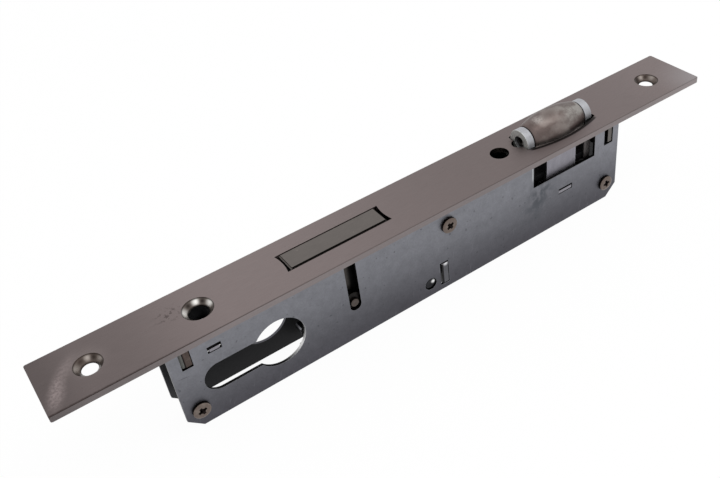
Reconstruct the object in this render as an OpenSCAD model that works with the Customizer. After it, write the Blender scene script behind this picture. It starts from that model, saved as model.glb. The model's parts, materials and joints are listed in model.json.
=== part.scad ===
// Narrow mortise lock with a sliding deadbolt, a lever drive and an adjustable sprung roller.
// Millimetres. X runs along the forend towards the roller, Z points out of the door edge,
// and the origin is the centre of the forend's outer face.

/* [Forend] */
// Length of the forend
forend_l = 235; // [225:1:245]
// Width of the forend
forend_w = 22; // [20:0.5:24]
// Thickness of the forend
forend_t = 2; // [1.8:0.1:2.5]
// Corner radius of the forend's ends
forend_corner_r = 0.6; // [0.3:0.1:1.5]
// Distance from each fixing screw to the forend's end
fix_inset = 14.1; // [13.6:0.1:14.6]
// Bore of a fixing hole
fix_hole_d = 4.6; // [4.2:0.1:5]
// Countersink of a fixing hole at the face
fix_sink_d = 8.2; // [7.6:0.1:8.6]

/* [Case] */
// Reach of the case past the cylinder's fixing screw
case_past_screw = 14.2; // [14:0.1:16]
// Reach of the case past the roller's carriage
case_past_roller = 10.9; // [10.6:0.1:13]
// Depth of the case under the forend
case_h = 34; // [33.5:0.5:36]
// Thickness of the case over both plates
case_t = 12.5; // [12:0.1:13]
// Thickness of each case plate
plate_t = 1; // [0.8:0.1:1.1]
// Chamfer on the two inner corners of the case
case_chamfer = 4.4; // [3.5:0.1:5]

/* [Cylinder opening] */
// Centre of the cylinder from the middle of the forend
cyl_x = -53.3; // [-53.8:0.1:-53]
// Backset, from the forend's outer face to the cylinder's centre
backset = 21; // [20.5:0.1:21.2]
// Diameter of the round end of the profile opening
cyl_d = 17; // [16.8:0.1:17.2]
// Width of the narrow end of the profile opening
cyl_slot_w = 10; // [9.8:0.1:10.4]
// Height of the whole profile opening
cyl_total = 33; // [32.5:0.5:33.5]
// Distance from the cylinder's centre to its fixing screw
cyl_screw_pitch = 18.5; // [18:0.1:18.6]
// Hole for the cylinder's fixing screw
cyl_screw_d = 6; // [5.5:0.1:6.4]
// Countersink of that hole at the face
cyl_sink_d = 9.2; // [8.6:0.1:9.6]
// Reach of the cylinder's cam from the cylinder's centre
cam_reach = 15; // [14.6:0.1:15.2]

/* [Deadbolt] */
// Middle of the deadbolt from the middle of the forend
bolt_x = -27; // [-27.4:0.1:-26.8]
// Width of the deadbolt along the forend
bolt_w = 33.4; // [32.6:0.2:33.6]
// Thickness of the deadbolt
bolt_t = 7.7; // [7.3:0.1:7.8]
// Length of the deadbolt from its face to its inner end
bolt_h = 26; // [25:0.5:27]
// Throw of the deadbolt
bolt_throw = 14.5; // [13:0.5:15]
// Room at each end of the deadbolt, at the corners of its opening
bolt_end_room = 1.3; // [1:0.1:1.4]
// Room on the deadbolt's cover side in its opening
bolt_near_room = 0.6; // [0.4:0.05:0.7]
// Room on the deadbolt's far side in its opening
bolt_far_room = 0.1; // [0.1:0.05:0.2]
// Set of the deadbolt to the far side of the lock's middle
bolt_set = 0.85; // [0.7:0.05:0.9]
// Inward bow of the opening's two ends
bolt_hole_bow = 0.55; // [0.3:0.05:0.7]
// Diameter of the guide pin
guide_pin_d = 2.9; // [2.6:0.1:3]
// Depth of the guide pin under the forend's face, bolt drawn in
guide_pin_depth = 22; // [21.5:0.1:22.2]
// Room at each side of the guide pin in the plates' slots
guide_play = 0.55; // [0.4:0.05:0.6]

/* [Drive lever] */
// Lever pivot from the middle of the forend
pivot_x = 1; // [0.8:0.1:1.1]
// Depth of the lever pivot under the forend's face
pivot_depth = 31.1; // [30.8:0.1:31.3]
// Diameter of the pivot pin
pivot_d = 4.4; // [4.2:0.1:4.5]
// Thickness of the lever
lever_t = 3.4; // [3:0.1:3.6]
// Radius of the lever's hub
hub_r = 4; // [3.8:0.1:4.1]
// Radius of the lever's detent sector
sector_r = 10.5; // [10:0.1:10.8]

/* [Roller] */
// Middle of the roller from the middle of the forend
roller_x = 59; // [58.8:0.1:59.4]
// Height of the roller's axis above the forend's face
roller_rise = 0.3; // [0:0.1:0.8]
// Largest diameter of the roller, at its middle
roller_d = 13; // [12.8:0.1:13.2]
// Diameter of the roller at its ends
roller_end_d = 9.2; // [8.8:0.1:9.4]
// Length of the roller
roller_l = 22; // [21.6:0.1:22.4]
// Diameter of the roller's pin
roller_pin_d = 3.2; // [3:0.1:3.6]
// Thickness of each ear of the carriage
ear_t = 2.85; // [2.6:0.05:2.9]
// Set of the roller to the far side of the lock's middle
roller_set = 0.6; // [0.4:0.05:0.7]
// Room at the carriage's near end in the roller's opening
ear_near_room = 0.3; // [0.25:0.05:0.4]
// Room at the carriage's far end in the roller's opening
ear_far_room = 1.2; // [0.8:0.1:1.3]
// Room at each side of the roller's middle in its opening
roller_side_room = 0.8; // [0.6:0.05:0.9]
// Room around the roller's pin in its notch
pin_notch_room = 0.7; // [0.5:0.05:0.8]
// Inward travel of the roller against its springs
roller_travel = 4; // [3.6:0.1:4.1]
// Travel of the roller's adjustment
adjust_travel = 1.2; // [1:0.1:1.3]

/* [Springs] */
// Wire of the roller springs
spring_wire_d = 0.8; // [0.7:0.05:0.9]
// Outer diameter of the roller springs
spring_d = 5.2; // [5:0.1:5.4]
// Turns of each roller spring
spring_turns = 6; // [5:1:6]
// Thickness of the detent spring's strip
strip_t = 0.5; // [0.4:0.05:0.6]

/* [Adjuster] */
// Distance from the adjusting screw to the near end of the roller's carriage
adjust_gap = 8.3; // [8.1:0.1:8.9]
// Set of the access hole to the far side of the lock's middle
access_set = 0.7; // [0:0.1:0.8]
// Room around the adjusting screw's head in its access hole
access_room = 0.25; // [0.1:0.05:0.4]
// Thread of the adjusting screw
adjust_d = 4; // [3.8:0.1:4.2]
// Head of the adjusting screw
adjust_head_d = 5.8; // [5.6:0.1:5.9]

/* [Cover screws] */
// Thread of the cover screws
cover_screw_d = 3.5; // [3.2:0.1:3.6]
// Head of the cover screws
cover_head_d = 5.6; // [5.4:0.1:6]
// Height of the cover screws' heads
cover_head_h = 1.2; // [1:0.1:1.3]
// Diameter of the pillars that the cover screws hold to
post_d = 6; // [5.6:0.1:6.2]

/* [Hidden] */
$fn = 64;
// Gap between pieces that slide or lie beside each other
gap = 0.3;
// Radial clearance of a pin in its hole
pin_play = 0.05;
// Radial clearance of a pin that is pressed or riveted home
seat_play = 0.02;
// Clearance of a piece that spans the case, at each plate
plate_play = 0.05;
// Room around a tongue, a bar or a nub in its slot
slot_room = 0.1;
// Depth of a tongue's end under the plate's outer face
tongue_under = 0.15;
// Overshoot of a cutting shape past the faces that it cuts
cut = 1;

// Places along the forend, from the pieces that the case has to hold
cyl_r = cyl_d / 2;
cyl_screw_x = cyl_x - cyl_screw_pitch;
ear_gap = 0.25;
ear_x = roller_l / 2 + ear_gap;
carriage_l = 2 * (ear_x + ear_t);
adjust_x = roller_x - carriage_l / 2 - adjust_gap;
case_x0 = cyl_screw_x - case_past_screw;
case_x1 = roller_x + carriage_l / 2 + case_past_roller;
case_top = -forend_t;
case_bottom = -forend_t - case_h;
inner_y = case_t / 2 - plate_t;
outer_y = case_t / 2;
fix_x = forend_l / 2 - fix_inset;

// Cylinder opening and the room in which its cam turns
cyl_slot_end = cyl_total - cyl_r - cyl_slot_w / 2;
cam_play = 1.3;
cam_room = cam_reach + cam_play;

// Deadbolt and the slots that guide it
bolt_hole_l = bolt_w + 2 * bolt_end_room;
bolt_hole_w = bolt_t + bolt_near_room + bolt_far_room;
bolt_hole_y = bolt_set + (bolt_far_room - bolt_near_room) / 2;
bolt_y0 = bolt_set - bolt_t / 2;
bolt_y1 = bolt_set + bolt_t / 2;
guide_z0 = -guide_pin_depth;
guide_slot_w = guide_pin_d + 2 * guide_play;
guide_below = 1.2;
guide_above = 1;
bolt_slot_w = lever_t + 2 * gap;
bolt_slot_over = 7;
bolt_slot_top = guide_z0 + bolt_slot_over;
bolt_edge = 0.4;
washer_wall = 2.05;
washer_d = guide_pin_d + 2 * washer_wall;

// Lever, its slot for the guide pin and the angles that it swings between
pivot = [pivot_x, -pivot_depth];
pin_dx = pivot_x - bolt_x;
pin_dz0 = pivot_depth - guide_pin_depth;
lever_a0 = atan(pin_dz0 / pin_dx);
lever_a1 = atan((pin_dz0 + bolt_throw) / pin_dx);
lever_swing = lever_a1 - lever_a0;
lever_slot_play = 0.15;
lever_slot_w = guide_pin_d + 2 * lever_slot_play;
lever_slot_wall = 1.5;
lever_slot_steps = 12;
lever_slot_end_steps = 8;
arm_w = 6;
// How much wider a boss is than the bar that it ends
boss_step = 0.5;
spacer_step = 0.5;

// Fork of the lever, in polar terms about the pivot, set where the cylinder's cam passes
fork_tip_in = 8.7;
fork_tip_r = pivot_x - cyl_x - fork_tip_in;
fork_depth = 5.7;
fork_root_r = fork_tip_r - fork_depth;
fork_root_t = 3.5;
fork_drop = 9.63;
fork_turn = 180 - asin((pivot_depth - backset - fork_drop) / fork_tip_r);
fork_gap = 6.4;
fork_upper_t = 2.2;
fork_lower_t = 1.5;
tine_chamfer = 0.4;

// Detent sector and the place of the spring's nose, in degrees about the pivot
nose_a = 85;
sector_a0 = 78;
sector_a1 = 116;
notch_r = 1.2;
notch_out = 0.5;

// Detent spring: its anchor bar beside the pivot, and the bends of the strip
anchor_w = 2.6;
anchor_h = 8.35;
anchor_in = 4.75;
anchor_up = 5.5;
anchor_x0 = pivot_x + anchor_in;
anchor_top = anchor_up - pivot_depth;
anchor_slot_w = anchor_w + 0.8;
anchor_slot_x0 = anchor_x0 - (anchor_slot_w - anchor_w) + slot_room;
anchor_slot_over = 0.7;
strip_w = 5;
strip_foot = 3;
strip_bends = [[0, 2], [-0.6, 4.6]];
nose_over = 2.3;
nose_bends = [[3.4, 0.5], [1.3, 0], [-1.4, 0], [-3.2, 0.4]];

// Roller and its carriage, with two pockets for the springs
roller_z = roller_rise;
roller_r = roller_d / 2;
roller_end_r = roller_end_d / 2;
ear_inset = 0.2;
ear_r = roller_end_r - ear_inset;
ear_side_room = 0.4;
roller_hole_l = carriage_l + ear_near_room + ear_far_room;
roller_hole_x = roller_x + (ear_far_room - ear_near_room) / 2;
roller_hole_y = roller_set + 0.15;
roller_hole_w = roller_d + 2 * roller_side_room;
roller_hole_end_w = 2 * (ear_r + ear_side_room);
pin_notch_d = roller_pin_d + 2 * pin_notch_room;
pin_sink_d = 4.4;
pin_sink = 0.9;
pin_recess = 1.1;
carriage_drop = 16.7;
ear_bottom = roller_z - carriage_drop;
pocket_play = 0.3;
pocket_d = spring_d + 2 * pocket_play;
pocket_wall = 0.8;
pocket_pitch = pocket_d + pocket_wall;
pocket_h = 7.8;
pocket_roof = ear_bottom + pocket_h;
block_wall = 0.3;
block_w = pocket_pitch + pocket_d + 2 * block_wall;
block_side_room = 0.65;
block_y = inner_y - block_side_room;
cradle_wrap = 0.7;
block_top = roller_z - roller_r + cradle_wrap;
cradle_play = 0.4;
base_y = 3;
base_h = 3;
toe_l = 3;
toe_h = 2;
window_end_room = 2.9;
window_l = roller_l + 2 * window_end_room;
window_under = 3.35;
window_bottom = roller_z - roller_r - roller_travel - adjust_travel - window_under;

// Seat of the roller springs, with a tongue in each plate
seat_t = 1.2;
travel_spare = 0.3;
seat_z1 = ear_bottom - roller_travel - adjust_travel - travel_spare;
seat_l = block_w + 1;
seat_tongue_l = 5.9;
seat_tongue_x = roller_x + 0.6;
seat_slot_h = seat_t + 0.9;

// Guide plate of the cylinder's fixing screw, with a tongue in each plate
guide_plate_t = 1.1;
guide_plate_drop = 9.2;
guide_plate_z0 = case_top - guide_plate_drop;
guide_plate_wall = 1.5;
guide_plate_l = cyl_screw_d + 2 * guide_plate_wall;
guide_tongue_l = 3.2;
guide_tongue_x = cyl_screw_x - 0.4;
guide_slot_l = guide_tongue_l + 1;
guide_slot_h = guide_plate_t + 1.2;

// Lugs of the forend and their windows, from the case's ends. Each lug's tail goes deeper than its window
lug_w = 3.5;
lug_h = 10.6;
lug_tail = 3.5;
lug_nub_out = 0.7;
lug_in = [6.25, 2.9];
lug_left_x = case_x0 + lug_in[0];
lug_right_x = case_x1 - lug_in[1];
lug_window_w = [3.4, 4];
lug_window_bottom = case_top - lug_h - slot_room;
lug_window_in = [5.2, 4.65];
lug_window_left_x = case_x0 + lug_window_in[0];
lug_window_right_x = case_x1 - lug_window_in[1];

// Adjuster: bracket, screw, clip and nut block, each hung from the one before
bracket_t = 1.2;
bracket_w = 10;
bracket_drop = 6.6;
bracket_floor = case_top - bracket_drop;
access_d = adjust_head_d + 2 * access_room;
adjust_head_h = 2.6;
clip_t = 0.6;
clip_wall = 1.5;
clip_mouth = adjust_d * 0.7;
yoke_play = 0.4;
yoke_top = bracket_floor - gap - clip_t - yoke_play;
yoke_h = 7;
yoke_w = 7;
adjust_spare = 4.1;
adjust_tip = yoke_top - yoke_h - adjust_travel - adjust_spare;
finger_t = yoke_top - (ear_bottom + toe_h) - gap;
finger_end_room = 0.5;

// Cover screws, from the corners and the top edge of the case
screw_corner_left = [4.8, 6.6];
screw_corner_right = [5.5, 7.1];
screw_middle_x = 9.5;
screw_middle_drop = 8.7;
cover_screw_at = [[case_x0 + screw_corner_left[0], case_bottom + screw_corner_left[1]],
    [screw_middle_x, case_top - screw_middle_drop],
    [case_x1 - screw_corner_right[0], case_bottom + screw_corner_right[1]]];
cover_screw_l = 2 * inner_y - 1.5;
// Wall between a cover screw's thread and the core that is tapped for it
thread_depth = 0.25;
cover_hole_play = 0.2;
recess_l = 2.9;
recess_w = 0.9;
recess_h = 1;
// Turn at which each screw's recess came to rest, in degrees
recess_turns = [20, 35, 10];

// A plate drawn in X and Z, laid across the lock from y0 over a thickness t
module across(y0, t) {
    translate([0, y0 + t, 0]) rotate([90, 0, 0]) linear_extrude(t) children();
}

// A round bar drawn along Y at a point in X and Z
module cross_pin(at, d, y0, y1) {
    translate([at[0], y1, at[1]]) rotate([90, 0, 0]) cylinder(d = d, h = y1 - y0);
}

// A tube or washer along Y at a point in X and Z
module tube(at, d, bore, y0, y1) {
    difference() {
        cross_pin(at, d, y0, y1);
        cross_pin(at, bore, y0 - cut, y1 + cut);
    }
}

// A straight bar with round ends from point a to point b
module bar2d(a, b, w) {
    run = b - a;
    translate(a) circle(d = w);
    translate(b) circle(d = w);
    translate(a) rotate(atan2(run[1], run[0])) translate([0, -w / 2]) square([norm(run), w]);
}

// A bar from point a to point b between two round bosses that are a little wider
module link2d(a, b, boss_d, bar_w) {
    run = b - a;
    for (end = [a, b]) translate(end) circle(d = boss_d);
    translate(a) rotate(atan2(run[1], run[0])) translate([0, -bar_w / 2]) square([norm(run), bar_w]);
}

// A rectangle by its lowest and highest corner
module box2d(a, b) {
    translate(a) square(b - a);
}

// A box by its lowest and highest corner
module box3d(a, b) {
    translate(a) cube(b - a);
}

function polar(r, a) = pivot + r * [cos(a), sin(a)];

// Outline of both case plates
module case_outline() {
    polygon([[case_x0, case_top], [case_x1, case_top], [case_x1, case_bottom + case_chamfer],
        [case_x1 - case_chamfer, case_bottom], [case_x0 + case_chamfer, case_bottom],
        [case_x0, case_bottom + case_chamfer]]);
}

// Profile opening for the cylinder
module profile_opening() {
    translate([cyl_x, -backset]) {
        circle(r = cyl_r);
        bar2d([-cyl_slot_end, 0], [0, 0], cyl_slot_w);
    }
}

// Window in a plate for a lug's nub, open at the top
module lug_window(x, w) {
    box2d([x - w / 2, lug_window_bottom], [x + w / 2, case_top + cut]);
}

// Everything that is cut alike in both plates
module plate_openings() {
    profile_opening();
    bar2d([bolt_x, guide_z0 + (guide_slot_w - guide_pin_d) / 2 - guide_below],
        [bolt_x, guide_z0 + bolt_throw + guide_above], guide_slot_w);
    box2d([roller_x - window_l / 2, window_bottom], [roller_x + window_l / 2, case_top + cut]);
    box2d([seat_tongue_x - seat_tongue_l / 2 - slot_room, seat_z1 - seat_t - slot_room],
        [seat_tongue_x + seat_tongue_l / 2 + slot_room, seat_z1 - seat_t - slot_room + seat_slot_h]);
    box2d([guide_tongue_x - guide_slot_l / 2, guide_plate_z0 - slot_room],
        [guide_tongue_x + guide_slot_l / 2, guide_plate_z0 - slot_room + guide_slot_h]);
    lug_window(lug_window_left_x, lug_window_w[0]);
    lug_window(lug_window_right_x, lug_window_w[1]);
    box2d([anchor_slot_x0, anchor_top - anchor_h - slot_room],
        [anchor_slot_x0 + anchor_slot_w, anchor_top + anchor_slot_over]);
    translate(pivot) circle(d = pivot_d + 2 * pin_play);
}

// Opening for the deadbolt, with bowed ends
module bolt_opening() {
    half = bolt_hole_w / 2;
    bow_r = (half * half + bolt_hole_bow * bolt_hole_bow) / (2 * bolt_hole_bow);
    difference() {
        square([bolt_hole_l, bolt_hole_w], center = true);
        for (side = [-1, 1])
            translate([side * (bolt_hole_l / 2 - bolt_hole_bow + bow_r), 0]) circle(r = bow_r, $fn = 160);
    }
}

// Opening for the roller: two shallow arcs between square ends, with the notch for its pin
module roller_opening() {
    half = roller_hole_l / 2;
    bulge = (roller_hole_w - roller_hole_end_w) / 2;
    arc_r = (half * half + bulge * bulge) / (2 * bulge);
    intersection() {
        square([roller_hole_l, roller_hole_w + 2], center = true);
        translate([0, arc_r - roller_hole_w / 2]) circle(r = arc_r, $fn = 240);
        translate([0, roller_hole_w / 2 - arc_r]) circle(r = arc_r, $fn = 240);
    }
    translate([-half + 0.1, 0]) circle(d = pin_notch_d);
}

// A hole through the forend with a right-angled countersink at its face
module sunk_hole(x, hole_d, sink_d) {
    sink = (sink_d - hole_d) / 2;
    translate([x, 0, -forend_t - cut]) cylinder(d = hole_d, h = forend_t + 2 * cut);
    translate([x, 0, -sink]) cylinder(d1 = hole_d, d2 = sink_d, h = sink);
    translate([x, 0, 0]) cylinder(d = sink_d, h = cut);
}

module forend() {
    color("#87807b") difference() {
        translate([0, 0, -forend_t]) linear_extrude(forend_t) difference() {
            union() {
                square([forend_l - 2 * forend_corner_r, forend_w], center = true);
                square([forend_l, forend_w - 2 * forend_corner_r], center = true);
                for (sx = [-1, 1], sy = [-1, 1])
                    translate([sx * (forend_l / 2 - forend_corner_r), sy * (forend_w / 2 - forend_corner_r)])
                        circle(r = forend_corner_r, $fn = 32);
            }
            translate([bolt_x, bolt_hole_y]) bolt_opening();
            translate([roller_hole_x, roller_hole_y]) roller_opening();
            translate([adjust_x, access_set]) circle(d = access_d);
        }
        for (side = [-1, 1]) sunk_hole(side * fix_x, fix_hole_d, fix_sink_d);
        sunk_hole(cyl_screw_x, cyl_screw_d, cyl_sink_d);
    }
}

// A lug on the back of the forend, with a nub that catches in each plate's window
module lug(x, window_x, window_w) {
    nub_x0 = max(x - lug_w / 2, window_x - window_w / 2 + slot_room);
    nub_x1 = min(x + lug_w / 2, window_x + window_w / 2 - slot_room);
    wide = inner_y - plate_play;
    color("#7b716a") {
        box3d([x - lug_w / 2, -wide, case_top - lug_h - lug_tail], [x + lug_w / 2, wide, case_top]);
        box3d([nub_x0, -inner_y - lug_nub_out, lug_window_bottom + gap],
            [nub_x1, inner_y + lug_nub_out, case_top - plate_t]);
    }
}

module lower_lug() {
    lug(lug_left_x, lug_window_left_x, lug_window_w[0]);
}

module upper_lug() {
    lug(lug_right_x, lug_window_right_x, lug_window_w[1]);
}

module case_body() {
    color("#767a80") across(inner_y, plate_t) difference() {
        case_outline();
        plate_openings();
        for (at = cover_screw_at) translate(at) circle(d = cover_screw_d);
    }
}

module case_cover() {
    color("#767a80") across(-outer_y, plate_t) difference() {
        case_outline();
        plate_openings();
        for (at = cover_screw_at) translate(at) circle(d = cover_screw_d + 2 * cover_hole_play);
    }
}

// Pillars riveted to the case body, tapped for the cover screws
module cover_posts() {
    color("#8a8d90") for (at = cover_screw_at) difference() {
        union() {
            cross_pin(at, post_d, -inner_y, inner_y);
            cross_pin(at, cover_screw_d - 2 * seat_play, inner_y - plate_play, outer_y);
        }
        cross_pin(at, cover_screw_d - 2 * thread_depth, -inner_y - cut, -inner_y + cover_screw_l + gap);
    }
}

// One cross recess, cut down from z = 0
module cross_recess(reach, width, depth) {
    for (turn = [0, 90]) rotate(turn) translate([-reach / 2, -width / 2, -depth])
        cube([reach, width, depth + cut]);
    translate([0, 0, -depth * 1.2]) cylinder(d = width * 1.5, h = depth);
}

module cover_screws() {
    rim = cover_head_h * 0.2;
    color("#8d857e") for (i = [0:len(cover_screw_at) - 1])
        translate([cover_screw_at[i][0], -outer_y, cover_screw_at[i][1]]) rotate([90, 0, 0]) difference() {
            union() {
                cylinder(d = cover_head_d, h = cover_head_h - rim);
                translate([0, 0, cover_head_h - rim])
                    cylinder(d1 = cover_head_d, d2 = cover_head_d - 2 * rim, h = rim);
                translate([0, 0, -plate_t]) cylinder(d = cover_screw_d - 2 * seat_play, h = plate_t);
                translate([0, 0, -plate_t - cover_screw_l])
                    cylinder(d = cover_screw_d - 2 * thread_depth - 2 * seat_play, h = cover_screw_l);
            }
            translate([0, 0, cover_head_h]) rotate(recess_turns[i]) cross_recess(recess_l, recess_w, recess_h);
        }
}

// A plate across the case, of length l about x and half width y, from z0 up
module cross_plate(x, l, y, z0, t) {
    box3d([x - l / 2, -y, z0], [x + l / 2, y, z0 + t]);
}

// Cross plate that steers the cylinder's fixing screw, held by a tongue in each case plate
module screw_guide() {
    color("#9a9da0") difference() {
        union() {
            cross_plate(cyl_screw_x, guide_plate_l, inner_y - plate_play, guide_plate_z0, guide_plate_t);
            cross_plate(guide_tongue_x, guide_tongue_l, outer_y - tongue_under, guide_plate_z0, guide_plate_t);
        }
        translate([cyl_screw_x, 0, guide_plate_z0 - cut])
            cylinder(d = cyl_screw_d, h = guide_plate_t + 2 * cut);
    }
}

module deadbolt() {
    color("#7a7874") difference() {
        union() {
            box3d([bolt_x - bolt_w / 2, bolt_y0, -bolt_h], [bolt_x + bolt_w / 2, bolt_y1, -bolt_edge]);
            box3d([bolt_x - bolt_w / 2 + bolt_edge, bolt_y0 + bolt_edge, -bolt_edge],
                [bolt_x + bolt_w / 2 - bolt_edge, bolt_y1 - bolt_edge, 0]);
        }
        // Room for the lever between the two cheeks
        box3d([bolt_x - bolt_w / 2 - cut, -bolt_slot_w / 2, -bolt_h - cut],
            [bolt_x + bolt_w / 2 + cut, bolt_slot_w / 2, bolt_slot_top]);
        // Room for the cylinder's cam, with the bolt drawn in and thrown
        for (drop = [0, bolt_throw])
            cross_pin([cyl_x, -backset - drop], 2 * cam_room, -bolt_t, bolt_t);
        cross_pin([bolt_x, guide_z0], guide_pin_d + 2 * seat_play, -bolt_t, bolt_t);
    }
}

module bolt_guide_pin() {
    reach = outer_y - plate_t / 4;
    color("#b4b4b2") cross_pin([bolt_x, guide_z0], guide_pin_d, -reach, reach);
}

// Washers that centre the bolt between the case plates
module bolt_washers() {
    color("#a5a7a8") for (side = [-1, 1]) {
        y0 = side > 0 ? bolt_y1 + plate_play : -inner_y + plate_play;
        y1 = side > 0 ? inner_y - plate_play : bolt_y0 - plate_play;
        tube([bolt_x, guide_z0], washer_d, guide_pin_d + 2 * seat_play, y0, y1);
    }
}

// Path of the guide pin in the lever: distance and angle about the pivot after a travel s
function slot_r(s) = norm([pin_dx, pin_dz0 + s]);
function slot_a(s) = 180 - atan((pin_dz0 + s) / pin_dx) + lever_swing * s / bolt_throw;
function slot_side(side) = [for (i = [1:lever_slot_steps - 1])
    let (s = bolt_throw * i / lever_slot_steps, r = slot_r(s))
    polar(r, slot_a(s) + side * asin(lever_slot_w / 2 / r))];
// Half round end of the slot after a travel s, starting on the given side
function slot_end(s, start_a) = [for (k = [0:lever_slot_end_steps])
    polar(slot_r(s), slot_a(s)) + lever_slot_w / 2
        * [cos(start_a + 180 * k / lever_slot_end_steps), sin(start_a + 180 * k / lever_slot_end_steps)]];

module lever_slot() {
    left = slot_side(1);
    right = slot_side(-1);
    polygon(concat(slot_end(0, slot_a(0) + 90), [for (i = [0:len(right) - 1]) right[i]],
        slot_end(bolt_throw, slot_a(bolt_throw) - 90), [for (i = [len(left) - 1:-1:0]) left[i]]));
}

// One tine of the fork, its tip chamfered, between two heights beside the fork's middle line
module tine(y0, y1) {
    root = fork_root_r - 1;
    tip = fork_tip_r - tine_chamfer;
    polygon([[root, y0], [tip, y0], [fork_tip_r, y0 + tine_chamfer], [fork_tip_r, y1 - tine_chamfer],
        [tip, y1], [root, y1]]);
}

module lever_outline() {
    ear_d = lever_slot_w + 2 * lever_slot_wall;
    ear_in = polar(slot_r(0), slot_a(0));
    ear_out = polar(slot_r(bolt_throw), slot_a(bolt_throw));
    arm_end = polar(fork_root_r - arm_w / 2, fork_turn);
    translate(pivot) circle(r = hub_r);
    link2d(pivot, arm_end, arm_w, arm_w - boss_step);
    link2d(ear_in, ear_out, ear_d, ear_d - boss_step);
    polygon([pivot + [0, arm_w / 2], ear_in, ear_out, arm_end, pivot]);
    translate(pivot) rotate(fork_turn) {
        up = -fork_gap / 2 - fork_upper_t;
        down = fork_gap / 2 + fork_lower_t;
        box2d([fork_root_r - fork_root_t, up], [fork_root_r, down]);
        tine(up, up + fork_upper_t);
        tine(down - fork_lower_t, down);
    }
    // Sector with one notch for each end of the throw
    difference() {
        intersection() {
            translate(pivot) circle(r = sector_r);
            polygon([pivot, polar(2 * sector_r, sector_a0), polar(2 * sector_r, sector_a1)]);
        }
        for (a = [nose_a, nose_a + lever_swing])
            translate(polar(sector_r + notch_out, a)) circle(r = notch_r);
    }
}

module drive_lever() {
    color("#8f9294") across(-lever_t / 2, lever_t) difference() {
        lever_outline();
        lever_slot();
        translate(pivot) circle(d = pivot_d + 2 * pin_play);
    }
}

module lever_pivot() {
    reach = outer_y - plate_t * 0.4;
    color("#c0c2c3") cross_pin(pivot, pivot_d, -reach, reach);
}

// Tubes on the pivot that keep the lever in the middle of the case
module lever_spacers() {
    color("#a5a7a8") for (side = [-1, 1]) {
        y0 = side > 0 ? lever_t / 2 + plate_play : -inner_y + plate_play;
        y1 = side > 0 ? inner_y - plate_play : -lever_t / 2 - plate_play;
        tube(pivot, 2 * (hub_r - spacer_step), pivot_d + 2 * seat_play, y0, y1);
    }
}

module spring_anchor() {
    color("#5e6163") cross_plate(anchor_x0 + anchor_w / 2, anchor_w, outer_y - tongue_under,
        anchor_top - anchor_h, anchor_h);
}

// Bent strip that clasps the anchor and rests its nose in a notch of the lever's sector
module detent_spring() {
    half = strip_t / 2;
    left = anchor_x0 - half - plate_play;
    right = anchor_x0 + anchor_w + half + plate_play;
    foot = anchor_top - anchor_h - half - plate_play;
    nose = polar(sector_r + notch_out - notch_r + half + gap, nose_a);
    shoulder = polar(sector_r + nose_over, nose_a);
    path = concat([[left, foot + strip_foot], [left, foot], [right, foot]],
        [for (bend = strip_bends) [right, anchor_top] + bend],
        [shoulder + nose_bends[0], shoulder + nose_bends[1], nose],
        [shoulder + nose_bends[2], shoulder + nose_bends[3]]);
    color("#9fa3a6") across(-strip_w / 2, strip_w)
        for (i = [1:len(path) - 1]) bar2d(path[i - 1], path[i], strip_t, $fn = 24);
}

// Zinc carriage: two ears that hold the roller, a middle block with the spring pockets, and a toe
module roller_carriage() {
    color("#b9bcbf") difference() {
        union() {
            for (side = [-1, 1]) {
                x0 = side > 0 ? roller_x + ear_x : roller_x - ear_x - ear_t;
                translate([x0, roller_set, roller_z]) rotate([0, 90, 0]) cylinder(r = ear_r, h = ear_t);
                box3d([x0, roller_set - ear_r, ear_bottom], [x0 + ear_t, roller_set + ear_r, roller_z]);
            }
            cross_plate(roller_x, block_w, block_y, ear_bottom, block_top - ear_bottom);
            cross_plate(roller_x, carriage_l, base_y, ear_bottom, base_h);
            box3d([roller_x - carriage_l / 2 - toe_l, -base_y, ear_bottom],
                [roller_x - ear_x, base_y, ear_bottom + toe_h]);
        }
        // Cradle that the roller turns in
        translate([roller_x - roller_l / 2, roller_set, roller_z]) rotate([0, 90, 0])
            cylinder(r = roller_r + cradle_play, h = roller_l);
        translate([roller_x - carriage_l / 2 - cut, roller_set, roller_z]) rotate([0, 90, 0])
            cylinder(d = roller_pin_d + 2 * seat_play, h = carriage_l + 2 * cut);
        for (x = [roller_x - carriage_l / 2 - cut, roller_x + carriage_l / 2 - pin_sink])
            translate([x, roller_set, roller_z]) rotate([0, 90, 0]) cylinder(d = pin_sink_d, h = pin_sink + cut);
        for (side = [-1, 1]) translate([roller_x + side * pocket_pitch / 2, 0, ear_bottom - cut])
            cylinder(d = pocket_d, h = pocket_roof - ear_bottom + cut);
    }
}

// Barrel roller with a crowned face
module roller() {
    rise = roller_r - roller_end_r;
    half = roller_l / 2;
    crown_r = (half * half + rise * rise) / (2 * rise);
    color("#938c86") translate([roller_x, roller_set, roller_z]) rotate([0, 90, 0]) rotate_extrude($fn = 96)
        difference() {
            intersection() {
                translate([0, -half]) square([roller_r, roller_l]);
                translate([roller_r - crown_r, 0]) circle(r = crown_r, $fn = 360);
            }
            translate([-cut, -half - cut]) square([roller_pin_d / 2 + pin_play + cut, roller_l + 2 * cut]);
        }
}

module roller_pin() {
    reach = carriage_l / 2 - pin_recess;
    color("#c4c6c8") translate([roller_x - reach, roller_set, roller_z]) rotate([0, 90, 0])
        cylinder(d = roller_pin_d, h = 2 * reach);
}

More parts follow.
